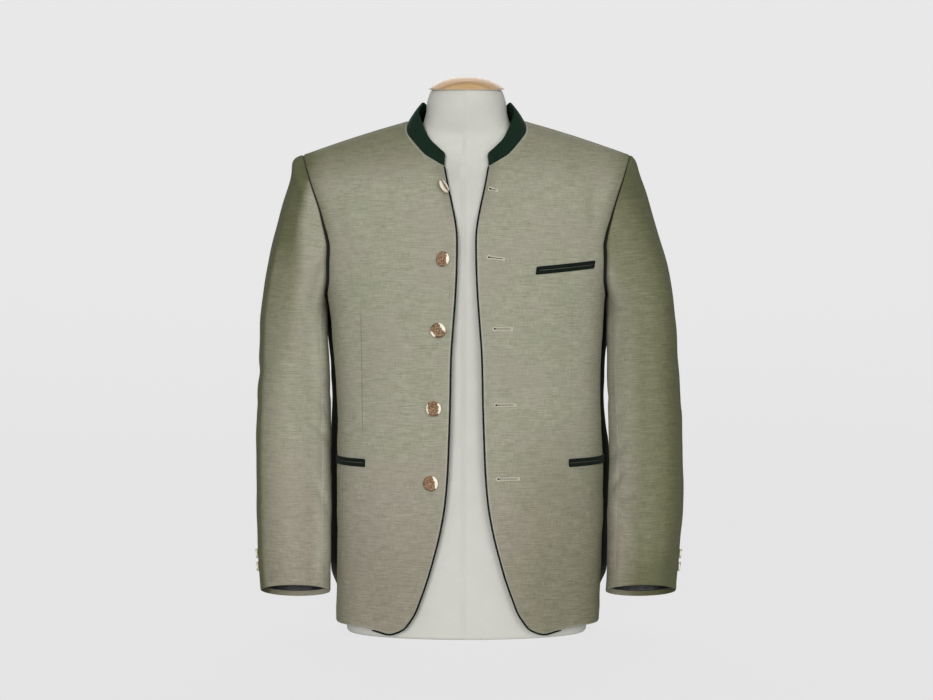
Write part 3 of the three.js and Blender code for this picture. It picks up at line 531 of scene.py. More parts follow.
# Each piece of linen reads its own stretch of the cloth, so no slub runs on across a seam.
BACK_STRETCH, RIGHT_STRETCH = np.array([1700, 900]), np.array([0, 3000])
panel_pieces = {}
for side in ("left", "right"):
    for kind, place in PANELS.items():
        girth, height = place[..., 0], place[..., 1]
        outer = worn_body(side, girth, height)
        to_left, to_right, to_bottom, to_top = border_distances(outer)
        normal = grid_normals(outer)
        relief = seam_relief(to_left) + seam_relief(to_right) + seam_relief(to_top)
        to_armhole = to_right if kind == "front" else to_left
        beside_armhole = fade((height - UNDERARM + 10) / 20) * fade((SHOULDER - height) / 160)
        relief = relief - 1.1 * beside_armhole * bell(to_armhole, 2.4)
        valley = armpit_depth(outer[..., 2]) * fade((height - UNDERARM + 40) / 40)
        relief = relief - valley * bell(to_armhole, 4.5)
        relief = relief + seam_relief(to_bottom, 0.45, 0.12)
        outer = outer + normal * relief[..., None]
        outer = outer + border_steps(outer, SEAM_GAP / 2)
        inner = outer - soft_ridge(normal, height) * LINEN_WALL
        cloth = on_cloth(girth, height)
        if side == "right":
            cloth = cloth[:, ::-1] * np.array([-1, 1]) + RIGHT_STRETCH
        if kind == "back":
            cloth = cloth + BACK_STRETCH
        # Painted highlight along the front edge, and half as strong along the front hem.
        edge = np.zeros(outer.shape[:2])
        if kind == "front":
            edge = bell(to_left - 1.2, 0.9) + 0.5 * bell(to_bottom - 1.2, 0.9)
            edge = edge * fade((to_top - 2) / 5)
        z = outer[..., 2]
        # Painted shadow: the body's side in the gap behind the sleeve is darkened nearly to black.
        into_gap = fade((girth - 1.0) / 0.04) * fade((1.175 - girth) / 0.06) * fade((z - 50) / 50)
        shade = into_gap * fade((UNDERARM + 30 - height) / 30)
        shade = np.maximum(shade, seam_shade(z, to_armhole) * fade((height - UNDERARM + 30) / 30))
        if kind == "front":
            slits = behind_slit(hip, girth, height)
            if side == "left":
                slits = np.maximum(slits, behind_slit(breast, girth, height))
            shade = np.maximum(shade, 0.72 * slits)
        # Painted shade: the linen is darkened towards the shoulders, the sides and the hem and beside the armhole,
        # where less light falls.
        to_side = girth if kind == "front" else 2 - girth
        painted_shade = (0.6 if side == "left" else 1.05) * fade((height - 625) / 110)
        painted_shade = painted_shade + 0.75 * fade((to_side - 0.62) / 0.38) + 0.3 * fade((200 - z) / 150)
        if side == "left":
            painted_shade = painted_shade + 0.5 * fade((340 - z) / 140) * fade((to_side - 0.12) / 0.3)
        painted_shade = painted_shade + 0.6 * bell(to_armhole, 16) * bell(z - 590, 45)
        # Painted shade along the front dart.
        dart = outer[..., 0] - 146 - (z - 345) * 0.012
        dart_share = fade((z - 275) / 25) * fade((480 - z) / 40) * (kind == "front")
        dart_share = dart_share * (0.35 if side == "left" else 1)
        values = {"edge": edge, "shade": shade, "painted_shade": painted_shade, "dart": dart, "dart_share": dart_share,
                  "warm": low_down(z)}
        piece = add_worn(side, f"linen_{kind}_{side}", outer, inner, cloth, values)
        panel_pieces[kind, side] = piece
        print(piece.name, len(piece.data.polygons), "faces")

# %% [markdown]
# ## Sleeves
# A set-in sleeve leaves the armhole almost square to it, turns down over the upper arm, and bends
# forward at the elbow. One smooth run of points goes from each armhole stitch to the upper arm, and
# level rings carry on to the cuff. The whole sleeve is one grid first, so that its two seams match,
# and is then divided into a top sleeve and an under sleeve.

# %% Sleeve shape
SLEEVE_ROWS = {
    "left": table([
        [60, 248, -35, 50, 42], [100, 251, -29, 50.5, 44], [170, 256, -14, 54, 49], [260, 258.5, 2, 53, 54],
        [345, 256, 8, 52.5, 58], [430, 252.5, 7, 50, 62], [474, 252, 5, 49, 64],
    ]),
    "right": table([
        [60, 243, -35, 49, 42], [100, 245, -29, 51, 44], [170, 247, -14, 53.5, 49], [260, 249, 2, 54, 54],
        [345, 249, 8, 52.5, 58], [430, 249, 7, 48.5, 62], [474, 249, 5, 48, 64],
    ]),
}
BICEP, CUFF_LINE, CUFF_TILT = 430, 60, 13
HEAD_ROLL = {"left": 2.5, "right": 7.5}  # the padded roll at the shoulder's tip
STATIONS, FORE_SEAM, HIND_SEAM = 22, 2, 14  # places round the armhole, and the two seams' own
FORE_TURN, HIND_TURN = -52, 104  # the angles that the two seams have at the cuff
SLEEVE_FOLDS = {
    "left": [
        (25, 632, 22, 14, 3.5, 0), (-48, 262, 40, 9, 2.6, 58), (-55, 214, 34, 8, 2.2, 50),
        (-40, 168, 36, 9, 1.8, -42), (60, 500, 90, 16, -2, 4), (200, 300, 44, 10, 2.4, -55),
        (90, 575, 75, 30, 7, 0),
    ],
    "right": [
        (42, 545, 85, 11, 2.6, 6), (88, 372, 30, 13, 2.2, 70), (-50, 285, 42, 9, 2.4, 55),
        (95, 452, 30, 12, -2, 80), (-52, 190, 34, 9, 2, 40), (205, 320, 46, 10, 2.2, -50),
    ],
}
SLEEVE_CREASES = {
    "left": [
        (8, 560, 60, 7, 1.3, 10), (-20, 520, 50, 6, 1.1, 16), (40, 470, 44, 8, 0.9, -22),
        (-30, 330, 30, 6, 1.0, 66), (20, 296, 34, 8, 0.8, 74), (-58, 300, 28, 6, 1.1, 48),
        (70, 330, 34, 9, 0.8, -64), (30, 220, 44, 8, 0.8, 40), (-20, 128, 40, 7, 0.9, -30),
        (60, 150, 50, 9, 0.8, 12), (150, 420, 60, 11, 1.4, 20), (230, 240, 40, 9, 1.5, -60),
        (170, 200, 44, 10, 1.2, -40), (260, 330, 36, 8, 1.3, 62), (110, 560, 50, 10, 1.2, 8),
    ],
    "right": [
        (4, 566, 60, 7, 1.2, 6), (-24, 512, 50, 6, 1.1, 14), (30, 452, 44, 8, 0.9, -26),
        (-26, 340, 30, 6, 1.0, 62), (24, 306, 34, 8, 0.9, 70), (-60, 318, 28, 6, 1.0, 44),
        (66, 336, 34, 9, 0.9, -58), (34, 232, 44, 8, 0.8, 36), (-16, 136, 40, 7, 0.8, -26),
        (58, 160, 50, 9, 0.8, 8), (150, 410, 60, 11, 1.3, 24), (236, 250, 40, 9, 1.4, -56),
        (166, 210, 44, 10, 1.3, -44), (262, 340, 36, 8, 1.2, 58), (112, 552, 50, 10, 1.1, 12),
    ],
}


def turn_between(start, end):
    return (end - start + 180) % 360 - 180


def station_angle(station, down):
    """The angle round the sleeve of a place on the armhole: 0 is the front, 90 the outer side."""
    at_armhole = -90 + 360 * station / STATIONS
    first = mix(HIND_TURN - 360, FORE_TURN, (station + 8) / 10)
    second = mix(FORE_TURN, HIND_TURN, (station - 2) / 12)
    third = mix(HIND_TURN, FORE_TURN + 360, (station - 14) / 10)
    at_cuff = np.where(station < FORE_SEAM, first, np.where(station <= HIND_SEAM, second, third))
    return mix(at_armhole, at_cuff, fade(down))


def sleeve_section(side, angle, height):
    x, y, width, depth = SLEEVE_ROWS[side](height)
    turn = np.radians(angle)
    low = fade((BICEP - height) / (BICEP - CUFF_LINE))
    radius = (width + depth) / 2
    across = lambda place: np.radians(turn_between(place, angle)) * radius
    sunk = fold_depth(SLEEVE_FOLDS[side] + SLEEVE_CREASES[side], across, height)
    lift = CUFF_TILT * low * np.cos(turn)
    across_it, forward = (width - sunk) * np.sin(turn), (depth - sunk) * np.cos(turn)
    return np.stack([x + across_it, y - forward, height + lift + 0 * turn], -1)


def head_places(station):
    return np.where((station <= 11)[..., None], front_armhole(np.clip(station / 11, 0, 1)),
                    back_armhole(np.clip((STATIONS - station) / 11, 0, 1)))


def seam_leaving(lift):
    """The way the sleeve leaves the armhole seam. lift is 0 under the arm and 1 on top of it."""
    return np.stack([mix(16, 52, np.sqrt(np.maximum(lift, 0))), 0 * lift, -30 * lift], -1)


def sleeve_head(side, station, t):
    places = head_places(station)
    start = worn_body(side, places[..., 0], places[..., 1])
    angle = station_angle(station, t / 2)
    end = sleeve_section(side, angle, np.full(np.shape(angle), float(BICEP)))
    x, y = SLEEVE_ROWS[side](BICEP)[:2]
    middle = np.stack([x + 0 * angle, y + 0 * angle, end[..., 2]], -1)
    lift = (1 + np.sin(np.radians(angle))) / 2
    leaving = seam_leaving(lift)
    landing = np.stack([0 * lift, 0 * lift, -(start[..., 2] - end[..., 2]) * 1.05], -1)
    start = start + unit(leaving) * (SEAM_GAP + 0.1 * lift**8)[..., None]
    t = t[..., None]
    point = (start * (2 * t**3 - 3 * t**2 + 1) + leaving * (t**3 - 2 * t**2 + t)
             + end * (3 * t**2 - 2 * t**3) + landing * (t**3 - t**2))
    size = np.linalg.norm(end - middle, axis=-1)
    across = lambda place: np.radians(turn_between(place, angle)) * size
    t = t[..., 0]
    sunk = fold_depth(SLEEVE_FOLDS[side] + SLEEVE_CREASES[side], across, point[..., 2]) * fade(t * 4) * (1 - t)
    turn = np.radians(angle)
    inward = np.stack([-np.sin(turn), np.cos(turn), 0 * turn], -1)
    roll = HEAD_ROLL[side] * lift**3 * bell(t - 0.12, 0.1) * np.minimum(1, t / 0.04)
    return point + inward * sunk[..., None] + roll[..., None] * np.array([1, 0, 0.25])


def whole_sleeve(side, columns):
    lower_s, lower_d = np.meshgrid(columns, spaced(128, 370)[:0:-1])
    height = mix(BICEP, CUFF_LINE, lower_d)
    lower = sleeve_section(side, station_angle(lower_s, 0.5 + lower_d / 2), height)
    heads = np.linspace(0, 1, 84)[::-1] ** 1.35
    heads = np.sort(np.concatenate([heads, [0.004, 0.009, 0.016, 0.026]]))[::-1]
    head_s, head_t = np.meshgrid(columns, heads)
    grid = np.concatenate([lower, sleeve_head(side, head_s, head_t)])
    join = len(lower)
    for _ in range(14):
        near = slice(join - 7, join + 8)
        grid[near] += 0.5 * ((grid[join - 8:join + 7] + grid[join - 6:join + 9]) / 2 - grid[near])
    return grid, join


print("sleeve at the bicep, half width and half depth:", *SLEEVE_ROWS["left"](BICEP)[2:].round(1).tolist(), "mm")

# %% Top and under sleeves
# How strong the painted shade is down the sleeve's outer side, and how far in it reaches.
outer_band = table([[60, 0.45, 60], [340, 0.55, 60], [416, 0.7, 68], [471, 0.9, 66], [526, 1.1, 64],
                    [581, 1.6, 50], [640, 1.7, 46]])
edge_heights = np.arange(60.0, 660.0, 10.0)
# A sleeve piece runs from one seam to the other: its name, its seams, its columns and its width.
SLEEVE_CUTS = [("top_sleeve", FORE_SEAM, HIND_SEAM, 78, 190),
               ("under_sleeve", HIND_SEAM, FORE_SEAM + STATIONS, 50, 150)]
SLEEVE_STRETCH = {("top_sleeve", "left"): (5200, 1300), ("top_sleeve", "right"): (5200, 4100),
                  ("under_sleeve", "left"): (7400, 1300), ("under_sleeve", "right"): (7400, 4100)}
sleeve_pieces = {}
for side in ("left", "right"):
    for kind, first, last, count, size in SLEEVE_CUTS:
        stations = (first + (last - first) * spaced(count, size)) % STATIONS
        grid, join = whole_sleeve(side, stations)
        to_first, to_last, to_cuff, to_head = border_distances(grid)
        normal = grid_normals(grid)
        angle = station_angle(stations, 0.6)
        ripple = 0.35 * np.sin(np.cumsum(np.abs(np.gradient(stations))) * 5.2) * bell(to_head, 16)
        rolling = hills(41 if side == "left" else 53, np.radians(angle) * 52, grid[..., 2], 0.5, 66)
        rolling = rolling * fade(to_first / 12) * fade(to_last / 12) * fade(to_head / 14)
        relief = seam_relief(to_first, 0.08, 0) + seam_relief(to_last, 0.3, 0.08) + seam_relief(to_head, 0.5, 0.7)
        relief = relief - armpit_depth(grid[..., 2]) * bell(to_head, 4.5)
        relief = relief + seam_relief(to_cuff, 0.45, 0.1) + rolling
        relief = relief + ripple * fade(to_first / 9) * fade(to_last / 9)
        outer = grid + normal * relief[..., None]
        gap = border_steps(outer, SEAM_GAP / 2)
        gap[0], gap[-1] = 0, 0
        gap[:, 0] = unit(outer[:, 1] - outer[:, 0]) * SEAM_GAP / 2
        gap[:, -1] = unit(outer[:, -2] - outer[:, -1]) * SEAM_GAP / 2
        outer = outer + gap
        seam_normal = worn_normal(side, *head_places(stations).T)
        lift = (1 + np.sin(np.radians(station_angle(stations, 0 * stations)))) / 2
        tucked = outer[-1] - unit(seam_leaving(lift)) * 4.5 - seam_normal * 2.4
        outer = np.concatenate([outer, tucked[None]])
        normal = np.concatenate([normal, seam_normal[None]])
        grid = np.concatenate([grid, tucked[None]])
        inner = outer - normal * LINEN_WALL
        up = distance_along(grid)
        up = up - up[join] + 400
        across = distance_along(grid[join // 2])
        cloth = np.stack([np.broadcast_to(across, up.shape), up], -1)
        if side == "right":
            cloth = cloth[:, ::-1] * np.array([-1, 1])
        cloth = cloth + np.array(SLEEVE_STRETCH[kind, side])
        z = outer[..., 2]
        to_head = np.concatenate([to_head, np.zeros((1, to_head.shape[1]))])
        shade = seam_shade(z, to_head)
        shade[-1] = 1
        outer_side = np.broadcast_to(np.sin(np.radians(angle)), z.shape)
        if kind == "top_sleeve":
            edge = [outer[..., 0][np.abs(z - level) < 9].max() for level in edge_heights]
        # Painted shade down the sleeve's outer side, at its head and near the cuff, and painted light down its
        # inner side, as the lamps fall on the two sleeves.
        if side == "left":
            painted_shade = 1.07 * fade((outer_side + 0.8) / 0.75) + 0.2 * fade(outer_side / 0.5)
            painted_shade = painted_shade + 0.35 * fade((135 - z) / 60)
            painted_shade = painted_shade + 0.5 * fade((outer_side - 0.45) / 0.4) + 0.3 * fade((z - 600) / 60)
            painted_light = 0.6 * fade((-0.6 - outer_side) / 0.4) * fade((520 - z) / 60) * fade((z - 90) / 130)
        else:
            from_edge = np.interp(z, edge_heights, edge) - outer[..., 0]
            amount, reach = outer_band(z)
            painted_shade = amount * fade((reach - from_edge) / mix(45, 22, fade((z - 350) / 120)))
            painted_shade = painted_shade + 1.7 * fade((16 - from_edge) / 14) + 0.5 * fade((z - 640) / 30)
            painted_shade = painted_shade + 0.14 * fade((130 - z) / 60)
            high = fade((z - 320) / 80) * fade((520 - z) / 60)
            painted_light = fade((-0.42 + 0.06 * high - outer_side) / 0.5) * (1 + 0.4 * high) * fade((560 - z) / 60)
            painted_light = painted_light * (0.5 + 0.5 * fade((z - 70) / 60))
        values = {"shade": shade, "painted_shade": painted_shade, "painted_light": painted_light, "warm": low_down(z)}
        piece = add_worn(side, f"linen_{kind}_{side}", outer, inner, cloth, values)
        sleeve_pieces[kind, side] = piece
        print(piece.name, len(piece.data.polygons), "faces")

# %% [markdown]
# ## Lining inside the cuffs
# The sleeve is lined with satin, which shows only just inside the cuff. It is a band a hair's
# breadth inside the linen, closed all round.

# %% Cuff linings
lining_pieces = {}
for side in ("left", "right"):
    columns = np.arange(0, 22, 0.2)
    heights = CUFF_LINE + np.array([7, 7.8, 9, 12, 18, 26, 34, 43, 50, 52])
    ring_s, ring_h = np.meshgrid(columns, heights)
    down = (BICEP - ring_h) / (BICEP - CUFF_LINE)
    angles = station_angle(ring_s, 0.5 + down / 2)
    band = sleeve_section(side, angles, ring_h)
    normal = grid_normals(band, True)
    pleat = 0.25 * np.sin(np.radians(angles) * 9 + 1) * fade((ring_h - 70) / 20)
    outer = band - normal * (2.7 + pleat)[..., None]
    inner = outer - normal * 0.8
    across = np.linspace(0, 300, len(columns))
    cloth = np.stack([np.broadcast_to(across, ring_h.shape), ring_h], -1)
    lining_pieces[side] = add_worn(side, f"satin_cuff_{side}", outer, inner, cloth, endless=True, bulge=0.2)
    print(lining_pieces[side].name)

# %% [markdown]
# ## The felt stand collar
# The collar is one strip of thick felt, low at the front ends and high behind, which leans against
# the neck. It is a shell along the neckline with a rounded top edge, and its front corners are cut
# round, as felt is cut rather than turned.

# %% Collar
collar_row = table([[0, 17.5, 12], [0.12, 24, 20], [0.3, 32, 28], [0.55, 34, 35], [0.8, 34, 12], [1, 34, 6]])
FELT_WALL = 2.6


def neckline(side, count):
    front = front_neck(np.linspace(0, 1, count))
    back = back_neck(np.linspace(0, 1, count))[1:]
    places = np.concatenate([front, back])
    line = worn_body(side, places[:, 0], places[:, 1])
    if side == "right":
        line = line * np.array([-1, 1, 1])
    return line


left_line, right_line = neckline("left", 91), neckline("right", 91)
base = np.concatenate([left_line, right_line[:-1][::-1]])
kernel = np.array([1, 2, 3, 2, 1]) / 9
for _ in range(5):
    padded = np.concatenate([base[:1], base[:1], base, base[-1:], base[-1:]])
    smooth = sum(k * padded[i:i + len(base)] for i, k in enumerate(kernel))
    base[3:-3] = smooth[3:-3]
place = 1 - np.abs(np.linspace(-1, 1, len(base)))
rise_height, lean = collar_row(place)
lean = np.radians(lean)[:, None]
up = np.array([0.0, 0, 1])
inward = unit((np.array([0, 4.0, 0]) - base) * np.array([1, 1, 0]))
rise = up * np.cos(lean) + inward * np.sin(lean)
thick = inward * np.cos(lean) - up * np.sin(lean)
walked = distance_along(base)
from_end = np.minimum(walked, walked[-1] - walked)
CORNER = 3.0
corner_drop = CORNER - np.sqrt(np.maximum(0, CORNER**2 - np.maximum(0, CORNER - from_end) ** 2))
tall = rise_height - corner_drop
parts = np.array([0, 0.02, 0.05, 0.1, 0.18, 0.28, 0.38, 0.48, 0.58, 0.68, 0.78, 0.87, 0.93, 0.965, 0.985, 1])
low = base + rise * (SEAM_GAP + 0.3)
wobble = hills(71, walked, 0 * walked, 0.35, 60)
outer = np.stack([low + rise * (tall * p)[:, None] - thick * (0.9 * math.sin(math.pi * p) + wobble * p)[:, None]
                  for p in parts])
soft_edge = 0.55 * bell(1 - parts, 0.02) + 0.3 * bell(parts, 0.02)
outer = outer + thick[None] * soft_edge[:, None, None]
wall = (FELT_WALL - 2 * soft_edge)[:, None, None]
inner = outer + thick[None] * wall
cloth = np.stack([np.broadcast_to(walked, outer.shape[:2]), parts[:, None] * tall[None]], -1)
felt_collar = add_shell("felt_collar", outer, inner, cloth, bulge=0.5)
print(felt_collar.name, "runs", round(float(walked[-1])), "mm round the neck")

# %% [markdown]
# ## Piping and pocket lips
# Piping is a narrow bias strip folded round a cord, so it is a tube with a slightly flattened back
# that follows the front edge. The pocket lips are flat folded strips (jetted pockets), which meet at
# both ends, where the slit closes.

# %% Edge piping
PIPING = 1.25


def add_tube(name, rings, uv, values=None):
    """Rings of points joined to a tube, with both ends closed."""
    rows, sides = rings.shape[:2]
    index = np.arange(rows * sides).reshape(rows, sides)
    turned = np.roll(index, -1, axis=1)
    quads = np.stack([index[:-1], turned[:-1], turned[1:], index[1:]], -1).reshape(-1, 4).tolist()
    ends = [index[0][::-1].tolist(), index[-1].tolist()]
    return add_mesh(name, rings.reshape(-1, 3), quads + ends, uv.reshape(-1, 2), values)


def tapered(count, ends=4):
    sizes = np.ones(count)
    curve = np.sqrt(1 - (1 - np.linspace(0.12, 1, ends)) ** 2)
    sizes[:ends], sizes[-ends:] = curve, curve[::-1]
    return sizes


piping_pieces = {}
for side in ("left", "right"):
    hem = front_hem(np.linspace(0.27, 0, 32))
    places = np.concatenate([hem, front_edge(np.linspace(0, 1, 420))[1:]])
    line = worn_body(side, places[:, 0], places[:, 1])
    normal = worn_normal(side, places[:, 0], places[:, 1])
    for _ in range(6):
        line[1:-1] = (line[:-2] + 2 * line[1:-1] + line[2:]) / 4
    along = unit(np.gradient(line, axis=0))
    away = -unit(np.cross(along, normal))
    middle = line - normal * 0.7 + away * (PIPING + SEAM_GAP * 0.6)
    turns = np.arange(12) * math.pi / 6
    size = PIPING * tapered(len(line))
    rings = (middle[:, None] + normal[:, None] * (np.cos(turns)[None] * size[:, None])[..., None]
             - away[:, None] * (np.sin(turns)[None] * size[:, None])[..., None])
    gone = distance_along(line)
    cloth = np.stack(np.broadcast_arrays(gone[:, None], (turns * PIPING)[None]), -1)
    if side == "right":
        rings, cloth = rings[:, ::-1] * np.array([-1, 1, 1]), cloth[:, ::-1]
    piping_pieces[side] = add_tube(f"edge_piping_cord_{side}", rings, cloth)
    print(piping_pieces[side].name, round(float(gone[-1])), "mm long")

# %% Pocket lips
LIP_HEIGHT, LIP_SLIT, LIP_WALL, LIP_REST, LIP_CORNER = 5.0, 1.1, 1.3, 0.55, 1.6


def add_lip(side, name, ends, low, high):
    along = spaced(56, 86)
    start, end = ends
    offsets = np.array([0, 0.06, 0.14, 0.26, 0.42, 0.58, 0.74, 0.86, 0.94, 1.0])
    steps, across = np.meshgrid(along, offsets)
    girth = mix(start[0], end[0], steps)
    mouth_ends = plain_body(np.array([start[0], end[0]]), np.array([start[1], end[1]]))
    length = np.linalg.norm(np.diff(mouth_ends, axis=0))
    from_end = np.minimum(steps, 1 - steps) * length
    pinch = 1 - fade((from_end - 1.5) / 4.5)
    rounded = LIP_CORNER - np.sqrt(LIP_CORNER**2 - np.maximum(0, LIP_CORNER - from_end) ** 2)
    if low > 0:
        edge_low, edge_high = low - pinch * (low - 0.12), high - rounded
    else:
        edge_low, edge_high = low + rounded, high + pinch * (-0.12 - high)
    height = mix(start[1], end[1], steps) + mix(edge_low, edge_high, across)
    surface = worn_body(side, girth, height)
    normal = worn_normal(side, girth, height)
    crown = 0.35 * (1 - (2 * across - 1) ** 2) - 0.5 * (np.abs(2 * across - 1) ** 8)
    crown = crown - 0.5 * bell(from_end, 0.8)
    crown = crown + 0.12 * np.sin(steps * 31 + (3 if low > 0 else 0)) * fade(from_end / 12)
    outer = surface + normal * (LIP_REST + LIP_WALL + crown)[..., None]
    inner = surface + normal * LIP_REST
    cloth = np.stack([steps * length, across * (high - low)], -1)
    if side == "right":
        cloth = cloth[:, ::-1]
    return add_worn(side, name, outer, inner, cloth, bulge=0.15)


def add_pocket(side, name, ends):
    upper = add_lip(side, f"{name}_lip_upper", ends, LIP_SLIT / 2, LIP_SLIT / 2 + LIP_HEIGHT)
    lower = add_lip(side, f"{name}_lip_lower", ends, -LIP_SLIT / 2 - LIP_HEIGHT, -LIP_SLIT / 2)
    return upper, lower


pocket_pieces = {
    "breast_pocket": add_pocket("left", "felt_breast_pocket", breast),
    "hip_pocket_left": add_pocket("left", "felt_hip_pocket_left", hip),
    "hip_pocket_right": add_pocket("right", "felt_hip_pocket_right", hip),
}
print("pocket lips:", 2 * len(pocket_pieces))

# %% [markdown]
# ## Horn buttons
# A stag-horn button is a slice of antler: its rim is polished cream and its face keeps the rough
# brown bark. No two are alike, so each button is a disc of rings whose outline and bark patch come
# from its own seed. The bark patch is also kept as an attribute for the material.

# %% Buttons
def frame_at(normal):
    side_way = unit(np.cross(np.array([0.0, 0, 1]), normal))
    return side_way, np.cross(normal, side_way)


def add_button(name, seat, normal, radius, thickness, seed, band, squash=1.0):
    """band is the bark's direction in degrees and how far it reaches to both sides of the middle."""
    dice = np.random.default_rng(seed)
    segments = 84
    profile = np.array([
        [0.02, 0], [0.5, 0], [0.8, 0.02], [0.9, 0.1], [0.965, 0.26], [0.995, 0.46], [0.99, 0.62], [0.968, 0.76],
        [0.94, 0.86], [0.9, 0.93], [0.86, 0.97], [0.8, 0.985], [0.74, 0.98], [0.68, 0.96], [0.6, 0.94],
        [0.52, 0.93], [0.44, 0.92], [0.36, 0.91], [0.28, 0.91], [0.2, 0.9], [0.14, 0.9], [0.08, 0.9], [0.02, 0.9],
    ])
    turns = np.arange(segments) * 2 * math.pi / segments
    wave = 1 + 0.014 * np.sin(turns * 2 + dice.uniform(0, 6)) + 0.01 * np.sin(turns * 3 + dice.uniform(0, 6))
    reach, high = profile[:, 0][:, None], profile[:, 1][:, None]
    x, y = reach * np.cos(turns) * wave * squash, reach * np.sin(turns) * wave
    lean, low_side, high_side = math.radians(band[0]), band[1], band[2]
    aside = x * math.cos(lean) + y * math.sin(lean)
    along = y * math.cos(lean) - x * math.sin(lean)
    ragged = 0.05 * np.sin(along * 5 + dice.uniform(0, 6)) + 0.035 * np.sin(along * 13 + dice.uniform(0, 6))
    patch = fade((aside + ragged - low_side) / 0.1 + 0.5) * fade((high_side - aside + ragged) / 0.1 + 0.5)
    patch = patch * fade((high - 0.55) / 0.25)
    rough = 0 * x
    for _ in range(30):
        turn, wave_length, phase = dice.uniform(0, math.pi), dice.uniform(0.09, 0.34), dice.uniform(0, 6.3)
        rough += np.sin((x * math.cos(turn) + y * math.sin(turn)) * 2 * math.pi / wave_length + phase)
    knot = bell(np.hypot(x + 0.04, y + 0.02), 0.09)
    bark = patch * (0.034 * rough / 3.9 + 0.02) + knot * 0.05 - (1 - patch) * 0.02 * fade((0.9 - reach) / 0.1)
    z = (high + bark) * thickness
    side_way, up_way = frame_at(normal)
    points = seat + x[..., None] * radius * side_way + y[..., None] * radius * up_way + z[..., None] * normal
    tone = np.clip(0.42 + rough / 18, 0, 0.78) + 0.5 * knot
    return add_tube(name, points, np.stack([x * radius, y * radius], -1), {"bark": patch, "tone": tone})


BUTTONS = [(34.6, 628), (32.5, 527), (38.8, 429), (45, 321), (49, 218)]
BANDS = [(20, -0.3, 0.2), (0, -0.93, 0.46), (35, -0.72, 0.55), (4, -0.7, 0.62), (14, -1.2, 0.5)]
BUTTON_TURNS = (30, 0, 0, 0, 0)
BUTTON_RADIUS, BUTTON_DEPTH, CUFF_BUTTON_RADIUS, CUFF_BUTTON_DEPTH = 10.75, 4.3, 7, 3.4
CLEAR_OF_CLOTH = 0.6
mirror_x = np.array([-1.0, 1, 1])
button_pieces = []
for k, ((x, z), band) in enumerate(zip(BUTTONS, BANDS)):
    girth, height = on_body(x, z)
    seat = worn_body("right", np.array(girth), np.array(height)) * mirror_x
    normal = worn_normal("right", np.array(girth), np.array(height)) * mirror_x
    turn = math.radians(BUTTON_TURNS[k])
    seat = seat + normal * (BUTTON_RADIUS * math.sin(turn) * 0.4)
    faced = np.array([normal[0] * math.cos(turn) - normal[1] * math.sin(turn),
                      normal[0] * math.sin(turn) + normal[1] * math.cos(turn), normal[2]])
    seat = seat + faced * CLEAR_OF_CLOTH
    squash = 0.88 if k == 1 else 1.0
    button_pieces.append(add_button(f"horn_button_{k + 1}", seat, faced, BUTTON_RADIUS, BUTTON_DEPTH,
                                    100 + k, band, squash))
cuff_buttons = {}
for side in ("left", "right"):
    for k, height in enumerate((113, 95)):
        spots = ((96.0, height), (97.0, height), (96.0, height + 1.0))
        near = [sleeve_section(side, np.array(a), np.array(h)) for a, h in spots]
        normal = unit(np.cross(near[1] - near[0], near[2] - near[0]))
        seat = near[0] + normal * CLEAR_OF_CLOTH
        if side == "right":
            seat, normal = seat * mirror_x, normal * mirror_x
        seed = 200 + k + (10 if side == "left" else 0)
        cuff_buttons[side, k + 1] = add_button(f"horn_cuff_button_{side}_{k + 1}", seat, normal, CUFF_BUTTON_RADIUS,
                                               CUFF_BUTTON_DEPTH, seed, (30 * k, -0.7, 0.6))
print("buttons:", len(button_pieces) + len(cuff_buttons))

# %% [markdown]
# ## The dress form
# The jacket stands on a limbless form: a padded torso under a cotton cover and a shallow wooden cap
# that closes the neck. The torso is a smooth stack of sections with a rolled hem at its base, and
# the cap is turned wood, so it is a profile spun round.

# %% Torso and cap
form_row = table([
    [0, 172, 106, 102], [110, 174, 108, 108], [240, 170, 106, 98], [325, 164, 104, 88], [410, 170, 106, 94],
    [478, 178, 110, 104], [540, 184, 104, 108], [600, 190, 88, 104], [636, 188, 66, 92], [662, 172, 51, 75],
    [680, 146, 48, 62], [697, 112, 46, 54], [710, 84, 46, 49], [722, 67, 49, 47], [740, 59, 53, 45],
    [757, 57, 56, 45], [768, 54, 57, 45], [776, 50.5, 55, 43],
])
FORM_TOP, FORM_MIDDLE = 776, 4
LEAN = math.radians(7.6)  # the neck's top, and the cap, lean forward
levels = [np.linspace(0, FORM_TOP, 150), np.linspace(640, FORM_TOP, 70), [1, 2.5, 774.6, 775.5]]
form_g, form_h = np.meshgrid(np.linspace(0, 4, 129)[:-1], np.unique(np.concatenate(levels)))
width, front, back = form_row(form_h)
shape = section(form_g, form_h, 0, width, front, back, FORM_MIDDLE, 0.85, 1)
pulled = 1 - 0.012 * bell(form_h, 1.4) - 0.02 * bell(FORM_TOP - form_h, 1.2)
shape[..., 0] *= pulled
shape[..., 1] = FORM_MIDDLE + (shape[..., 1] - FORM_MIDDLE) * pulled
shape[..., 2] += math.tan(LEAN) * fade((form_h - 700) / 76) * (shape[..., 1] + 5)
cover_torso = add_tube("cover_torso", shape, np.stack([distance_along(shape, 1), form_h], -1))

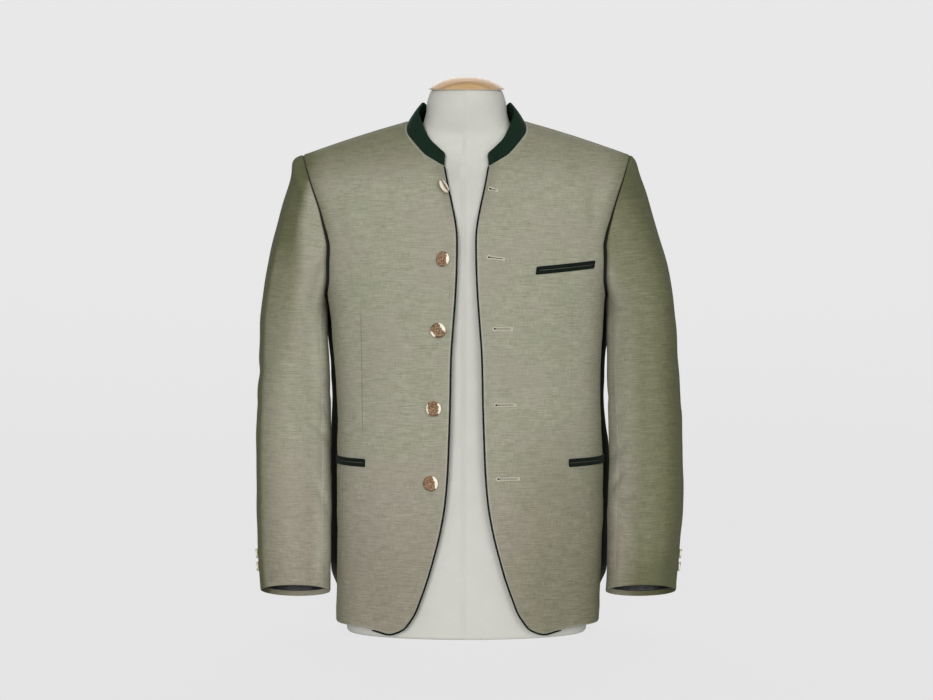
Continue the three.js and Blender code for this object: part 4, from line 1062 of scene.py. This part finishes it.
CAP_RADIUS, CAP_RIM, CAP_HEIGHT = 54.5, 1.2, 18.0
outs = (1 - np.linspace(0, 1, 44) ** 1.3)[1:-1]
profile = [(20, 0), (40, 0), (51.6, 0), (53, 0.15), (54, 0.5), (CAP_RADIUS, 1.0)]
profile += [(CAP_RADIUS * o, CAP_RIM + (CAP_HEIGHT - CAP_RIM) * (1 - o**2.6)) for o in outs]
profile += [(0.3, CAP_HEIGHT)]
turns = np.arange(144) * 2 * math.pi / 144
rings = np.array([[[r * math.cos(t), r * math.sin(t), z] for t in turns] for r, z in profile])
x, y, z = np.moveaxis(rings, -1, 0)
leant = [x, y * math.cos(LEAN) - z * math.sin(LEAN) - 5, y * math.sin(LEAN) + z * math.cos(LEAN) + FORM_TOP + 0.4]
wood_cap = add_tube("wood_neck_cap", np.stack(leant, -1), rings[..., :2])
print(cover_torso.name, wood_cap.name)

# %% [markdown]
# ## Writing materials as sums
# A material is a small machine of nodes. Wiring it by hand hides the idea, so `Link` lets an
# ordinary Python sum add the Math nodes, and `Finish.node` adds any other node from its settings and
# the values of its sockets.

# %% Material kit
class Link:
    """One output of a node. Its sums and products add the Math nodes that work them out."""

    def __init__(self, finish, socket):
        self.finish, self.socket = finish, socket

    def maths(self, operation, *numbers):
        return self.finish.node("ShaderNodeMath", {"operation": operation}, list(numbers))

    def __add__(self, other):
        return self.maths("ADD", self, other)

    def __sub__(self, other):
        return self.maths("SUBTRACT", self, other)

    def __rsub__(self, other):
        return self.maths("SUBTRACT", other, self)

    def __mul__(self, other):
        return self.maths("MULTIPLY", self, other)

    __radd__, __rmul__ = __add__, __mul__

    def step(self, low, high):
        """0 below low and 1 above high, smooth in between."""
        return self.finish.node("ShaderNodeMapRange", {"interpolation_type": "SMOOTHSTEP"},
                                {"Value": self, "From Min": low, "From Max": high}, "Result")


class Finish:
    """A material under construction, with its Principled shader ready."""

    def __init__(self, name, roughness, **constants):
        self.material = bpy.data.materials.new(name)
        self.material.use_nodes = True
        self.nodes, self.links = self.material.node_tree.nodes, self.material.node_tree.links
        self.shader = self.nodes["Principled BSDF"]
        self.shader.inputs["Roughness"].default_value = roughness
        for key, value in constants.items():
            self.shader.inputs[key.replace("_", " ").title().replace("Ior", "IOR")].default_value = value

    def node(self, kind, settings=None, values=(), output=0):
        node = self.nodes.new(kind)
        for key, value in (settings or {}).items():
            setattr(node, key, value)
        shown = [s for s in node.inputs if s.enabled]
        pairs = values.items() if isinstance(values, dict) else enumerate(values)
        for key, value in pairs:
            socket = shown[key] if isinstance(key, int) else next(s for s in shown if s.name == key)
            self.feed(socket, value)
        outputs = [s for s in node.outputs if s.enabled]
        found = outputs[output] if isinstance(output, int) else next(s for s in outputs if s.name == output)
        return Link(self, found)

    def feed(self, socket, value):
        if isinstance(value, Link):
            self.links.new(value.socket, socket)
        elif socket.type == "RGBA":
            socket.default_value = (*value, 1)
        else:
            socket.default_value = value

    def place(self, source, *scale, shift=(0, 0, 0)):
        """The cloth's or the object's own place, in units of the given millimetres."""
        if source == "object":
            at = self.node("ShaderNodeTexCoord", {}, (), "Object")
        else:
            at = self.node("ShaderNodeUVMap", {"uv_map": source})
        factor = tuple(1000.0 / s for s in (*scale, 1000.0, 1000.0)[:3])
        return self.node("ShaderNodeVectorMath", {"operation": "MULTIPLY_ADD"}, [at, factor, shift])

    def noise(self, at, detail=2.0, roughness=0.5, scale=1.0):
        values = {"Vector": at, "Scale": scale, "Detail": detail, "Roughness": roughness}
        return self.node("ShaderNodeTexNoise", {}, values)

    def ribs(self, at, way, scale, distortion, **more):
        """Rows of thread, as bands across the X, Y or DIAGONAL way of the cloth."""
        values = {"Vector": at, "Scale": scale, "Distortion": distortion, **more}
        return self.node("ShaderNodeTexWave", {"bands_direction": way}, values)

    def attribute(self, name):
        return self.node("ShaderNodeAttribute", {"attribute_name": name}, (), "Fac")

    def blend(self, share, first, second):
        values = {"Factor": share, "A": first, "B": second}
        return self.node("ShaderNodeMix", {"data_type": "RGBA"}, values, "Result")

    def bump(self, height, distance, strength):
        return self.node("ShaderNodeBump", {}, {"Strength": strength, "Distance": distance, "Height": height})

    def done(self, colour, normal=None, roughness=None):
        self.feed(self.shader.inputs["Base Color"], colour)
        if normal is not None:
            self.feed(self.shader.inputs["Normal"], normal)
        if roughness is not None:
            self.feed(self.shader.inputs["Roughness"], roughness)
        return self.material


print("material kit: Link does the sums, Finish adds every other node")

# %% [markdown]
# ## Linen
# Linen yarn is spun unevenly: thick slubs lie along single threads, so the cloth shows short fine
# dashes across it, and under them a soft mottle where the dye took more or less. The finish uses
# noise stretched many times along the thread, on the distance round and up the cloth. Each piece also
# carries painted light and shade, point by point: painted shade down a sleeve's outer side, at the
# shoulders and towards the sides, painted light down a sleeve's inner side, a darker, warmer painted
# shade near hem and cuffs, near-black painted shade in an armhole's line, in the gap beside the
# sleeve and behind a pocket's slit, a painted highlight on the front edge, and painted shade along
# the front dart.

# %% Linen finish
def linen_finish(name):
    f = Finish(name, 0.88, sheen_weight=0.08, sheen_roughness=0.5, specular_ior_level=0.2)
    f.shader.inputs["Sheen Tint"].default_value = (0.84, 0.86, 0.76, 1)
    slubs = f.noise(f.place("cloth", 11, 0.8), 3.0, 0.62)
    long_slubs = f.noise(f.place("cloth", 34, 1.25, shift=(7, 3, 0)), 2.0, 0.5)
    warp = f.noise(f.place("cloth", 0.9, 14, shift=(1, 9, 0)), 2.0, 0.5)
    mottle = f.noise(f.place("cloth", 16, 11, shift=(2, 2, 0)), 3.0, 0.6)
    broad = f.noise(f.place("cloth", 85, 65), 2.0, 0.5)
    fleck = f.noise(f.place("cloth", 3.4, 0.7, shift=(3, 5, 0)), 1.0, 0.5)
    tone = (slubs * 0.42 + long_slubs * 0.36 + warp * 0.24 + mottle * 0.16).step(0.42, 0.76)
    colour = f.blend(tone, (0.24, 0.235, 0.171), (0.418, 0.413, 0.32))
    warm = mottle * 0.25 + broad * 0.85
    colour = f.blend(warm.step(0.48, 0.72) * 0.5, colour, (0.345, 0.313, 0.252))
    colour = f.blend((1 - warm.step(0.36, 0.58)) * 0.3, colour, (0.285, 0.31, 0.205))
    colour = f.blend(fleck.step(0.68, 0.8) * 0.3, colour, (0.54, 0.54, 0.43))
    # Painted light and shade: a darker, warmer shade near hem and cuffs, light down a sleeve's inner side, shade
    # down its outer side, at the shoulders and sides, darkest where that shade is strongest, a highlight on the
    # front edge, shade along the dart, and near-black shade in an armhole's line, beside the sleeve and behind a
    # pocket's slit.
    painted_shade = f.attribute("painted_shade")
    tints = [(f.attribute("warm") * 0.5, (0.21, 0.175, 0.142), (0.37, 0.31, 0.265)),
             (f.attribute("painted_light") * 0.55, (0.5, 0.49, 0.38), (0.7, 0.69, 0.56)),
             (painted_shade * 0.72, (0.105, 0.108, 0.052), (0.195, 0.2, 0.108))]
    for share, low, high in tints:
        colour = f.blend(share, colour, f.blend(tone, low, high))
    colour = f.blend(painted_shade.step(1.0, 2.0) * 0.6, colour, (0.075, 0.078, 0.038))
    colour = f.blend(f.attribute("edge") * 0.45, colour, (0.55, 0.56, 0.5))
    dart = f.attribute("dart")
    dart = (1 - (dart * dart).step(0.02, 0.75)) * f.attribute("dart_share")
    colour = f.blend(dart * 0.4, colour, (0.1, 0.1, 0.06))
    colour = f.blend(f.attribute("shade") * 0.96, colour, (0.004, 0.004, 0.003))
    colour = f.blend(f.attribute("lined"), colour, (0.008, 0.008, 0.01))
    at = f.place("cloth", 1, 1)
    weft, ends = (f.ribs(at, way, 0.42, 1.6, Detail=1.0) for way in "YX")
    relief = weft * 0.35 + ends * 0.25 + slubs * 0.8 + long_slubs * 0.5 + warp * 0.3 - dart * 0.8
    normal = f.bump(relief, 0.0004, 0.6)
    return f.done(colour, normal, 0.84 + slubs * 0.1 - f.attribute("lined") * 0.45)


linen = linen_finish("linen_cloth")
print("linen:", len(linen.node_tree.nodes), "nodes")

# %% [markdown]
# ## Felt, piping, satin, horn, cotton and wood
# Felt is a fuzz of fibres in every direction, so its bump is fine noise without a weave, and sheen
# lifts its edges. The piping is a fine twill, whose ribs run aslant. Satin is smooth with long
# soft lights. Horn is cream and waxy with a rough brown face. Cotton shows a plain weave, and the
# turned cap shows beech flecks and faint rings.

# %% Trim and form finishes
def felt_finish():
    f = Finish("felt_cloth", 0.95, sheen_weight=0.16, sheen_roughness=0.55, specular_ior_level=0.15)
    f.shader.inputs["Sheen Tint"].default_value = (0.25, 0.42, 0.33, 1)
    fibres = f.noise(f.place("object", 0.9, 0.9, 0.9), 4.0, 0.7)
    clumps = f.noise(f.place("object", 5, 5, 5), 3.0, 0.6)
    hairs = f.noise(f.place("object", 2.4, 2.4, 0.6), 2.0, 0.5)
    tone = (fibres * 0.5 + clumps * 0.35 + hairs * 0.25).step(0.35, 0.78)
    colour = f.blend(tone, (0.003, 0.011, 0.006), (0.0085, 0.026, 0.0145))
    normal = f.bump(fibres * 0.7 + clumps * 0.6 + hairs * 0.4, 0.0006, 0.7)
    return f.done(colour, normal)


def piping_finish():
    f = Finish("piping_cloth", 0.85, sheen_weight=0.02, specular_ior_level=0.15)
    ribs = f.ribs(f.place("cloth", 1, 1), "DIAGONAL", 0.4, 0.5)
    fibres = f.noise(f.place("object", 0.5, 0.5, 0.5), 3.0, 0.6)
    patches = f.noise(f.place("object", 9, 9, 9), 2.0, 0.5)
    tone = (ribs * 0.35 + fibres * 0.5 + patches * 0.3).step(0.25, 0.85)
    colour = f.blend(tone, (0.002, 0.0045, 0.003), (0.007, 0.0125, 0.0085))
    return f.done(colour, f.bump(ribs * 0.8 + fibres * 0.5, 0.0003, 0.7))


def satin_finish():
    f = Finish("satin_lining", 0.38, specular_ior_level=0.45)
    threads = f.ribs(f.place("cloth", 1, 1), "X", 0.9, 0.8)
    creases = f.noise(f.place("cloth", 9, 30), 2.0, 0.5)
    colour = f.blend(creases, (0.006, 0.006, 0.008), (0.016, 0.016, 0.02))
    return f.done(colour, f.bump(threads * 0.15 + creases * 1.2, 0.0006, 0.5), 0.3 + creases * 0.2)


def horn_finish():
    f = Finish("stag_horn", 0.4, coat_weight=0.25, coat_roughness=0.25, specular_ior_level=0.5)
    bark, tone = f.attribute("bark"), f.attribute("tone")
    streaks = f.noise(f.place("object", 1.1, 1.1, 5), 4.0, 0.65)
    spots = f.noise(f.place("object", 0.8, 0.8, 0.8, shift=(4, 1, 7)), 3.0, 0.6)
    cream = f.blend(streaks, (0.72, 0.65, 0.5), (0.96, 0.91, 0.78))
    blotches = f.noise(f.place("object", 2.4, 2.4, 2.4, shift=(6, 3, 2)), 3.0, 0.7)
    brown = f.blend((tone * 0.5 + blotches * 0.9).step(0.5, 0.85), (0.06, 0.028, 0.009), (0.36, 0.2, 0.082))
    brown = f.blend(tone.step(0.84, 1.1), brown, (0.7, 0.55, 0.36))
    edge = f.blend(bark.step(0.05, 0.5) * (1 - bark.step(0.5, 0.95)), cream, (0.42, 0.31, 0.19))
    colour = f.blend(bark.step(0.3, 0.8), edge, brown)
    return f.done(colour, f.bump(spots * 0.7 + streaks * 0.3, 0.0004, 0.5), 0.35 + bark * 0.4)


def cotton_finish():
    f = Finish("cotton_cover", 0.92, sheen_weight=0.1, specular_ior_level=0.25)
    at = f.place("cloth", 1, 1)
    weft, ends = (f.ribs(at, way, 0.36, 0.9) for way in "YX")
    threads = f.noise(f.place("cloth", 8, 0.9), 2.0, 0.5)
    marks = f.noise(f.place("cloth", 60, 45), 3.0, 0.55)
    colour = f.blend(threads * 0.5 + marks * 0.5, (0.535, 0.535, 0.48), (0.7, 0.7, 0.645))
    return f.done(colour, f.bump(weft * 0.5 + ends * 0.5 + threads, 0.0003, 0.6))


def wood_finish():
    f = Finish("beech_wood", 0.5, coat_weight=0.12, coat_roughness=0.35)
    grain = f.noise(f.place("object", 34, 2.2, 40), 4.0, 0.6)
    rings = f.noise(f.place("object", 90, 6.5, 90, shift=(2, 5, 1)), 2.0, 0.5)
    flecks = f.noise(f.place("object", 5, 0.7, 5, shift=(8, 2, 3)), 1.0, 0.5)
    tone = (grain * 0.5 + rings * 0.5).step(0.3, 0.72)
    colour = f.blend(tone, (0.46, 0.27, 0.115), (0.72, 0.48, 0.24))
    colour = f.blend(flecks.step(0.62, 0.75) * 0.4, colour, (0.3, 0.17, 0.08))
    return f.done(colour, f.bump(grain + flecks * 0.4, 0.00012, 0.5), 0.36 + grain * 0.15)


felt, piping_cloth, satin = felt_finish(), piping_finish(), satin_finish()
horn, cotton, beech = horn_finish(), cotton_finish(), wood_finish()
print("finishes:", len(bpy.data.materials))

# %% [markdown]
# ## Hand-worked buttonholes
# A buttonhole is a slit with a round eye at its front end. Its raw edge is bound with thread, one
# stitch beside the next, and a bar of longer stitches closes the other end. Each stitch is a small
# arch of thread. A node tree sets one at every step along an outline, turned across the edge, so the
# sizes can be changed without drawing anything again.

# %% Thread finish and stitch tree
def thread_finish():
    f = Finish("linen_thread", 0.6, sheen_weight=0.1, specular_ior_level=0.3)
    strands = f.noise(f.place("object", 0.3, 0.3, 0.3), 2.0, 0.6)
    colour = f.blend(strands, (0.5, 0.47, 0.36), (0.78, 0.75, 0.62))
    return f.done(colour, f.bump(strands, 0.0001, 0.5))


STITCH_INPUTS = (("Pitch", "Float"), ("Length", "Float"), ("Thread", "Float"), ("Height", "Float"),
                 ("Unevenness", "Float"), ("Seed", "Int"), ("Finish", "Material"))


def stitch_tree():
    """Arches of thread along an outline, whose points keep the vectors across and up and their reach."""
    tree = bpy.data.node_groups.new("stitches", "GeometryNodeTree")
    add_socket = tree.interface.new_socket
    add_socket("Outline", in_out="INPUT", socket_type="NodeSocketGeometry")
    for name, kind in STITCH_INPUTS:
        add_socket(name, in_out="INPUT", socket_type="NodeSocket" + kind)
    add_socket("Stitches", in_out="OUTPUT", socket_type="NodeSocketGeometry")

    def node(kind, inputs, output=0, **settings):
        made = tree.nodes.new(kind)
        for key, value in settings.items():
            setattr(made, key, value)
        for key, value in inputs.items():
            if isinstance(value, bpy.types.NodeSocket):
                tree.links.new(value, made.inputs[key])
            else:
                made.inputs[key].default_value = value
        return made.outputs[output]

    def maths(operation, first, second):
        return node("ShaderNodeMath", {0: first, 1: second}, operation=operation)

    def stored(name, kind):
        return node("GeometryNodeInputNamedAttribute", {"Name": name}, "Attribute", data_type=kind)

    given = tree.nodes.new("NodeGroupInput").outputs
    start = node("ShaderNodeCombineXYZ", {"X": maths("MULTIPLY", given["Length"], -0.5)})
    end = node("ShaderNodeCombineXYZ", {"X": maths("MULTIPLY", given["Length"], 0.5)})
    crown = node("ShaderNodeCombineXYZ", {"Z": maths("MULTIPLY", given["Height"], 2.0)})
    arch = node("GeometryNodeCurveQuadraticBezier", {"Resolution": 4, "Start": start, "Middle": crown, "End": end})
    ring = node("GeometryNodeCurvePrimitiveCircle", {"Resolution": 5, "Radius": given["Thread"]})
    stitch = node("GeometryNodeCurveToMesh", {"Curve": arch, "Profile Curve": ring, "Fill Caps": True})
    line = node("GeometryNodeMeshToCurve", {"Mesh": given["Outline"]})
    steps = node("GeometryNodeResampleCurve", {"Curve": line, "Length": given["Pitch"]}, mode="LENGTH")
    faced = node("FunctionNodeAlignRotationToVector", {"Vector": stored("up", "FLOAT_VECTOR")}, axis="Z")
    turned = node("FunctionNodeAlignRotationToVector",
                  {"Rotation": faced, "Vector": stored("across", "FLOAT_VECTOR")}, axis="X", pivot_axis="Z")
    least, most = maths("SUBTRACT", 1.0, given["Unevenness"]), maths("ADD", 1.0, given["Unevenness"])
    uneven = node("FunctionNodeRandomValue", {2: least, 3: most, 8: given["Seed"]}, 1, data_type="FLOAT")
    wide = maths("MULTIPLY", stored("reach", "FLOAT"), uneven)
    size = node("ShaderNodeCombineXYZ", {"X": wide, "Y": 1.0, "Z": uneven})
    placed = node("GeometryNodeInstanceOnPoints",
                  {"Points": steps, "Instance": stitch, "Rotation": turned, "Scale": size})
    real = node("GeometryNodeRealizeInstances", {"Geometry": placed})
    finished = node("GeometryNodeSetMaterial", {"Geometry": real, "Material": given["Finish"]})
    tree.links.new(finished, tree.nodes.new("NodeGroupOutput").inputs[0])
    return tree


linen_thread, stitches = thread_finish(), stitch_tree()
print("stitch tree:", len(stitches.nodes), "nodes")

# %% Buttonholes
HOLES = [((33, 627), (42, 624.4)), ((31, 530), (50.5, 527.6)), ((39, 431), (62, 431)), ((41, 326), (66, 326)),
         ((44, 224), (71, 224))]  # each from its eye to its bar
EYE, SLIT, BINDING = 1.4, 0.55, 1.6


def beside_hole(hole, along, above, lift):
    """A place so far along a buttonhole from its eye, so far above it, and so far off the cloth."""
    eye, bar = np.array(hole[0], float), np.array(hole[1], float)
    way = (bar - eye) / np.linalg.norm(bar - eye)
    where = on_body(eye[0] + along * way[0] - above * way[1], eye[1] + along * way[1] + above * way[0])
    girth, height = where[..., 0], where[..., 1]
    return worn_body("left", girth, height) + worn_normal("left", girth, height) * lift


def hole_length(hole):
    return math.dist(*hole)


def bound_outline():
    """Two lines for each hole: round its raw edge, and along its bar."""
    points, edges, vectors = [], [], {"across": [], "up": [], "reach": []}
    for hole in HOLES:
        length, side_line = hole_length(hole), SLIT + BINDING / 2
        around = np.radians(np.linspace(34, 326, 24))
        eye_line = side_line / math.sin(around[0])
        straight = np.linspace(length, eye_line * math.cos(around[0]), 26)[:-1]
        along = np.concatenate([straight, eye_line * np.cos(around), straight[::-1]])
        above = np.concatenate([0 * straight + side_line, eye_line * np.sin(around), 0 * straight - side_line])
        to_side = np.concatenate([0 * straight, np.cos(around), 0 * straight])
        to_top = np.concatenate([0 * straight + 1, np.sin(around), 0 * straight - 1])
        bar = np.linspace(length + 0.2, length + 2.3, 5)
        lines = [(along, above, to_side, to_top, 1.0), (bar, 0 * bar, 0 * bar, 0 * bar + 1, 2.7)]
        for along, above, to_side, to_top, reach in lines:
            at = beside_hole(hole, along, above, 0.12)
            edges += [(len(points) + k, len(points) + k + 1) for k in range(len(at) - 1)]
            next_to_it = beside_hole(hole, along + to_side * 0.2, above + to_top * 0.2, 0.12)
            vectors["across"] += list(unit(next_to_it - at))
            vectors["up"] += list(unit(beside_hole(hole, along, above, 1.12) - at))
            vectors["reach"] += [reach] * len(at)
            points += list(at)
    mesh = bpy.data.meshes.new("buttonhole_outlines")
    mesh.from_pydata((np.array(points) * 0.001).tolist(), edges, [])
    for name, kind, field in (("across", "FLOAT_VECTOR", "vector"), ("up", "FLOAT_VECTOR", "vector"),
                              ("reach", "FLOAT", "value")):
        kept = mesh.attributes.new(name, kind, "POINT").data
        kept.foreach_set(field, np.array(vectors[name], np.float32).ravel())
    return in_scene("buttonhole_outlines", mesh)


def stitched(outline, name, **sizes):
    """The stitches along an outline as a plain mesh. The outline itself goes."""
    hook = outline.modifiers.new("stitches", "NODES")
    hook.node_group = stitches
    for item in stitches.interface.items_tree:
        if item.name in sizes:
            hook[item.identifier] = sizes[item.name]
    graph = bpy.context.evaluated_depsgraph_get()
    mesh = bpy.data.meshes.new_from_object(outline.evaluated_get(graph), depsgraph=graph)
    outline.modifiers.remove(hook)
    bpy.data.objects.remove(outline)
    mesh.name = name
    mesh.shade_smooth()
    return in_scene(name, mesh)


hole_threads = stitched(bound_outline(), "linen_buttonhole_threads", Pitch=0.0005, Length=BINDING * 0.001,
                        Thread=0.00023, Height=0.0002, Unevenness=0.12, Seed=7, Finish=linen_thread)
print("stitches:", len(hole_threads.data.vertices) // 25)

# Each slit gets a thin near-black sheet, a painted shadow for the shade inside the buttonhole.
hole_slits = []
for k, hole in enumerate(HOLES):
    length = hole_length(hole)
    eye_steps = -EYE * np.cos(np.linspace(0.05, math.pi - 0.32, 16))
    along = np.concatenate([eye_steps, np.linspace(1.5, length + 0.3, 18)])
    half = np.maximum(np.sqrt(np.maximum(EYE**2 - along**2, 0)), np.where(along > 0, SLIT, 0))
    half = half * np.where(along > 0, 1 - 0.7 * fade((along - length + 3) / 3.2), 1)
    above = np.linspace(-1, 1, 5)[:, None] * half[None]
    along, above = np.broadcast_arrays(along[None], above)
    lens = 0.06 * (1 - np.linspace(-1, 1, 5) ** 2)[:, None, None]
    outer, inner = beside_hole(hole, along, above, 0.16 + lens), beside_hole(hole, along, above, 0.04)
    slit_cloth = np.stack([along, above], -1)
    hole_slits.append(add_shell(f"buttonhole_shadow_{k + 1}", outer, inner, slit_cloth, bulge=0.02))
print("slits:", len(hole_slits))

# %% [markdown]
# ## Telling the frame what each piece is
# Every piece stands for one solid node, rides on the one body and is given its finish. A cloth
# piece also says the size that it was cut to.

# %% Pieces, finishes and cuts
def carry(piece):
    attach(piece, "root")


def stand_for(piece, node, material):
    piece.data.materials.append(material)
    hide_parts(node)
    carry(piece)


def cut_size(piece):
    """The cloth's width, length and area in metres, from its own map and its outer side."""
    mesh = piece.data
    count = len(mesh.polygons)
    areas = np.empty(count)
    mesh.polygons.foreach_get("area", areas)
    spots = np.empty(len(mesh.loops) * 2, np.float32)
    mesh.uv_layers["cloth"].data.foreach_get("uv", spots)
    spots = spots.reshape(-1, 2)
    width, length = spots.max(axis=0) - spots.min(axis=0)
    return float(width), float(length), float(areas.sum() / 2)


def declare(piece):
    width, length, area = cut_size(piece)
    area = min(area, width * length)
    print(f"{piece.name}: {width * 1000:.0f} by {length * 1000:.0f} mm, {area * 1e4:.0f} square cm")


for pocket, lips in pocket_pieces.items():
    for part, lip in zip(("upper", "lower"), lips):
        stand_for(lip, f"{pocket}_{part}_lip", piping_cloth)
for side in ("left", "right"):
    stand_for(piping_pieces[side], f"edge_piping_{side}", piping_cloth)
for (kind, side), piece in [*panel_pieces.items(), *sleeve_pieces.items()]:
    stand_for(piece, f"{kind}_{side}", linen)
for side, piece in lining_pieces.items():
    stand_for(piece, f"cuff_lining_{side}", satin)
stand_for(felt_collar, "collar", felt)
for k, piece in enumerate(button_pieces):
    stand_for(piece, f"button_{k + 1}", horn)
for (side, k), piece in cuff_buttons.items():
    stand_for(piece, f"cuff_button_{side}_{k}", horn)
stand_for(cover_torso, "form_torso", cotton)
stand_for(wood_cap, "form_neck_cap", beech)
carry(hole_threads)
# The buttonholes' painted shadow sheets take the dark satin finish.
for slit in hole_slits:
    slit.data.materials.append(satin)
    carry(slit)

for (kind, side), piece in panel_pieces.items():
    trims = []
    if kind == "front":
        trims = [piping_pieces[side], *pocket_pieces[f"hip_pocket_{side}"]]
        if side == "left":
            trims += [*pocket_pieces["breast_pocket"], hole_threads, *hole_slits]
    declare(piece)
for (kind, side), piece in sleeve_pieces.items():
    declare(piece)
for side, piece in lining_pieces.items():
    declare(piece)
declare(felt_collar)

# %% [markdown]
# ## Stage, light and camera
# The part stands on a pale floor whose far edge curves up all round, as a photographer's paper sweep
# does, so no horizon shows from any side. The paper glows a little, which keeps it even, and is left
# out of the bounced light, so the cloth is shaped by the lamps alone: a wide soft one in front, a
# little to the left, a weaker one to the right, and one behind for the back.

# %% Floor
SWEEP_FLAT, SWEEP_BEND, SWEEP_SIDES = 3.6, 1.6, 72  # metres of flat floor and of bend


def add_sweep():
    profile = [(1.2, 0.0), (2.4, 0.0), (SWEEP_FLAT, 0.0)]
    profile += [(SWEEP_FLAT + SWEEP_BEND * math.sin(a), SWEEP_BEND - SWEEP_BEND * math.cos(a))
                for a in np.linspace(0.1, math.pi / 2, 12)]
    profile += [(SWEEP_FLAT + SWEEP_BEND, 2.4)]
    spin = np.arange(SWEEP_SIDES) * 2 * math.pi / SWEEP_SIDES
    points = np.array([[[r * math.cos(t), r * math.sin(t), z] for t in spin] for r, z in profile]) * 1000
    index = np.arange(len(profile) * SWEEP_SIDES).reshape(-1, SWEEP_SIDES)
    turned = np.roll(index, -1, axis=1)
    quads = np.stack([index[:-1], index[1:], turned[1:], turned[:-1]], -1).reshape(-1, 4).tolist()
    return add_mesh("pale_sweep", points.reshape(-1, 3), quads + [index[0].tolist()])


sweep = add_sweep()
paper = Finish("pale_paper", 0.9, emission_strength=0.744, specular_ior_level=0.0)
paper.shader.inputs["Emission Color"].default_value = (1, 1, 1, 1)
grains = paper.noise(paper.place("object", 30, 30, 30), 3.0, 0.5)
sweep.data.materials.append(paper.done(paper.blend(grains, (0.058, 0.058, 0.058), (0.064, 0.064, 0.064))))
sweep.visible_diffuse = sweep.visible_glossy = sweep.visible_shadow = False
print("sweep:", len(sweep.data.polygons), "faces")

# %% Light
def add_sun(name, elevation, from_left, strength, softness):
    data = bpy.data.lights.new(name, "SUN")
    data.energy, data.angle = strength, math.radians(softness)
    in_scene(name, data).rotation_euler = (math.radians(90 - elevation), 0, -math.radians(from_left))
    print(name, "lamp:", strength, "from", from_left, "degrees left")


add_sun("key", elevation=9, from_left=13, strength=1.56, softness=22)
add_sun("fill", elevation=8, from_left=-21, strength=1.02, softness=34)
add_sun("back", elevation=24, from_left=178, strength=1.45, softness=50)
world = bpy.data.worlds.new("pale_room")
world.use_nodes = True
world.node_tree.nodes["Background"].inputs[0].default_value = (1, 1, 1, 1)
world.node_tree.nodes["Background"].inputs[1].default_value = 0.28
scene = bpy.context.scene
scene.world = world
scene.view_settings.view_transform = "Standard"

# %% Camera
lens = bpy.data.cameras.new("camera")
lens.lens, lens.sensor_width = 75, 36
camera = in_scene("camera", lens)
camera.location = (0, -2.8, 0.402)
camera.rotation_euler = (math.pi / 2, 0, 0)
scene.camera = camera
print("camera:", lens.lens, "mm lens,", -camera.location.y, "m in front")
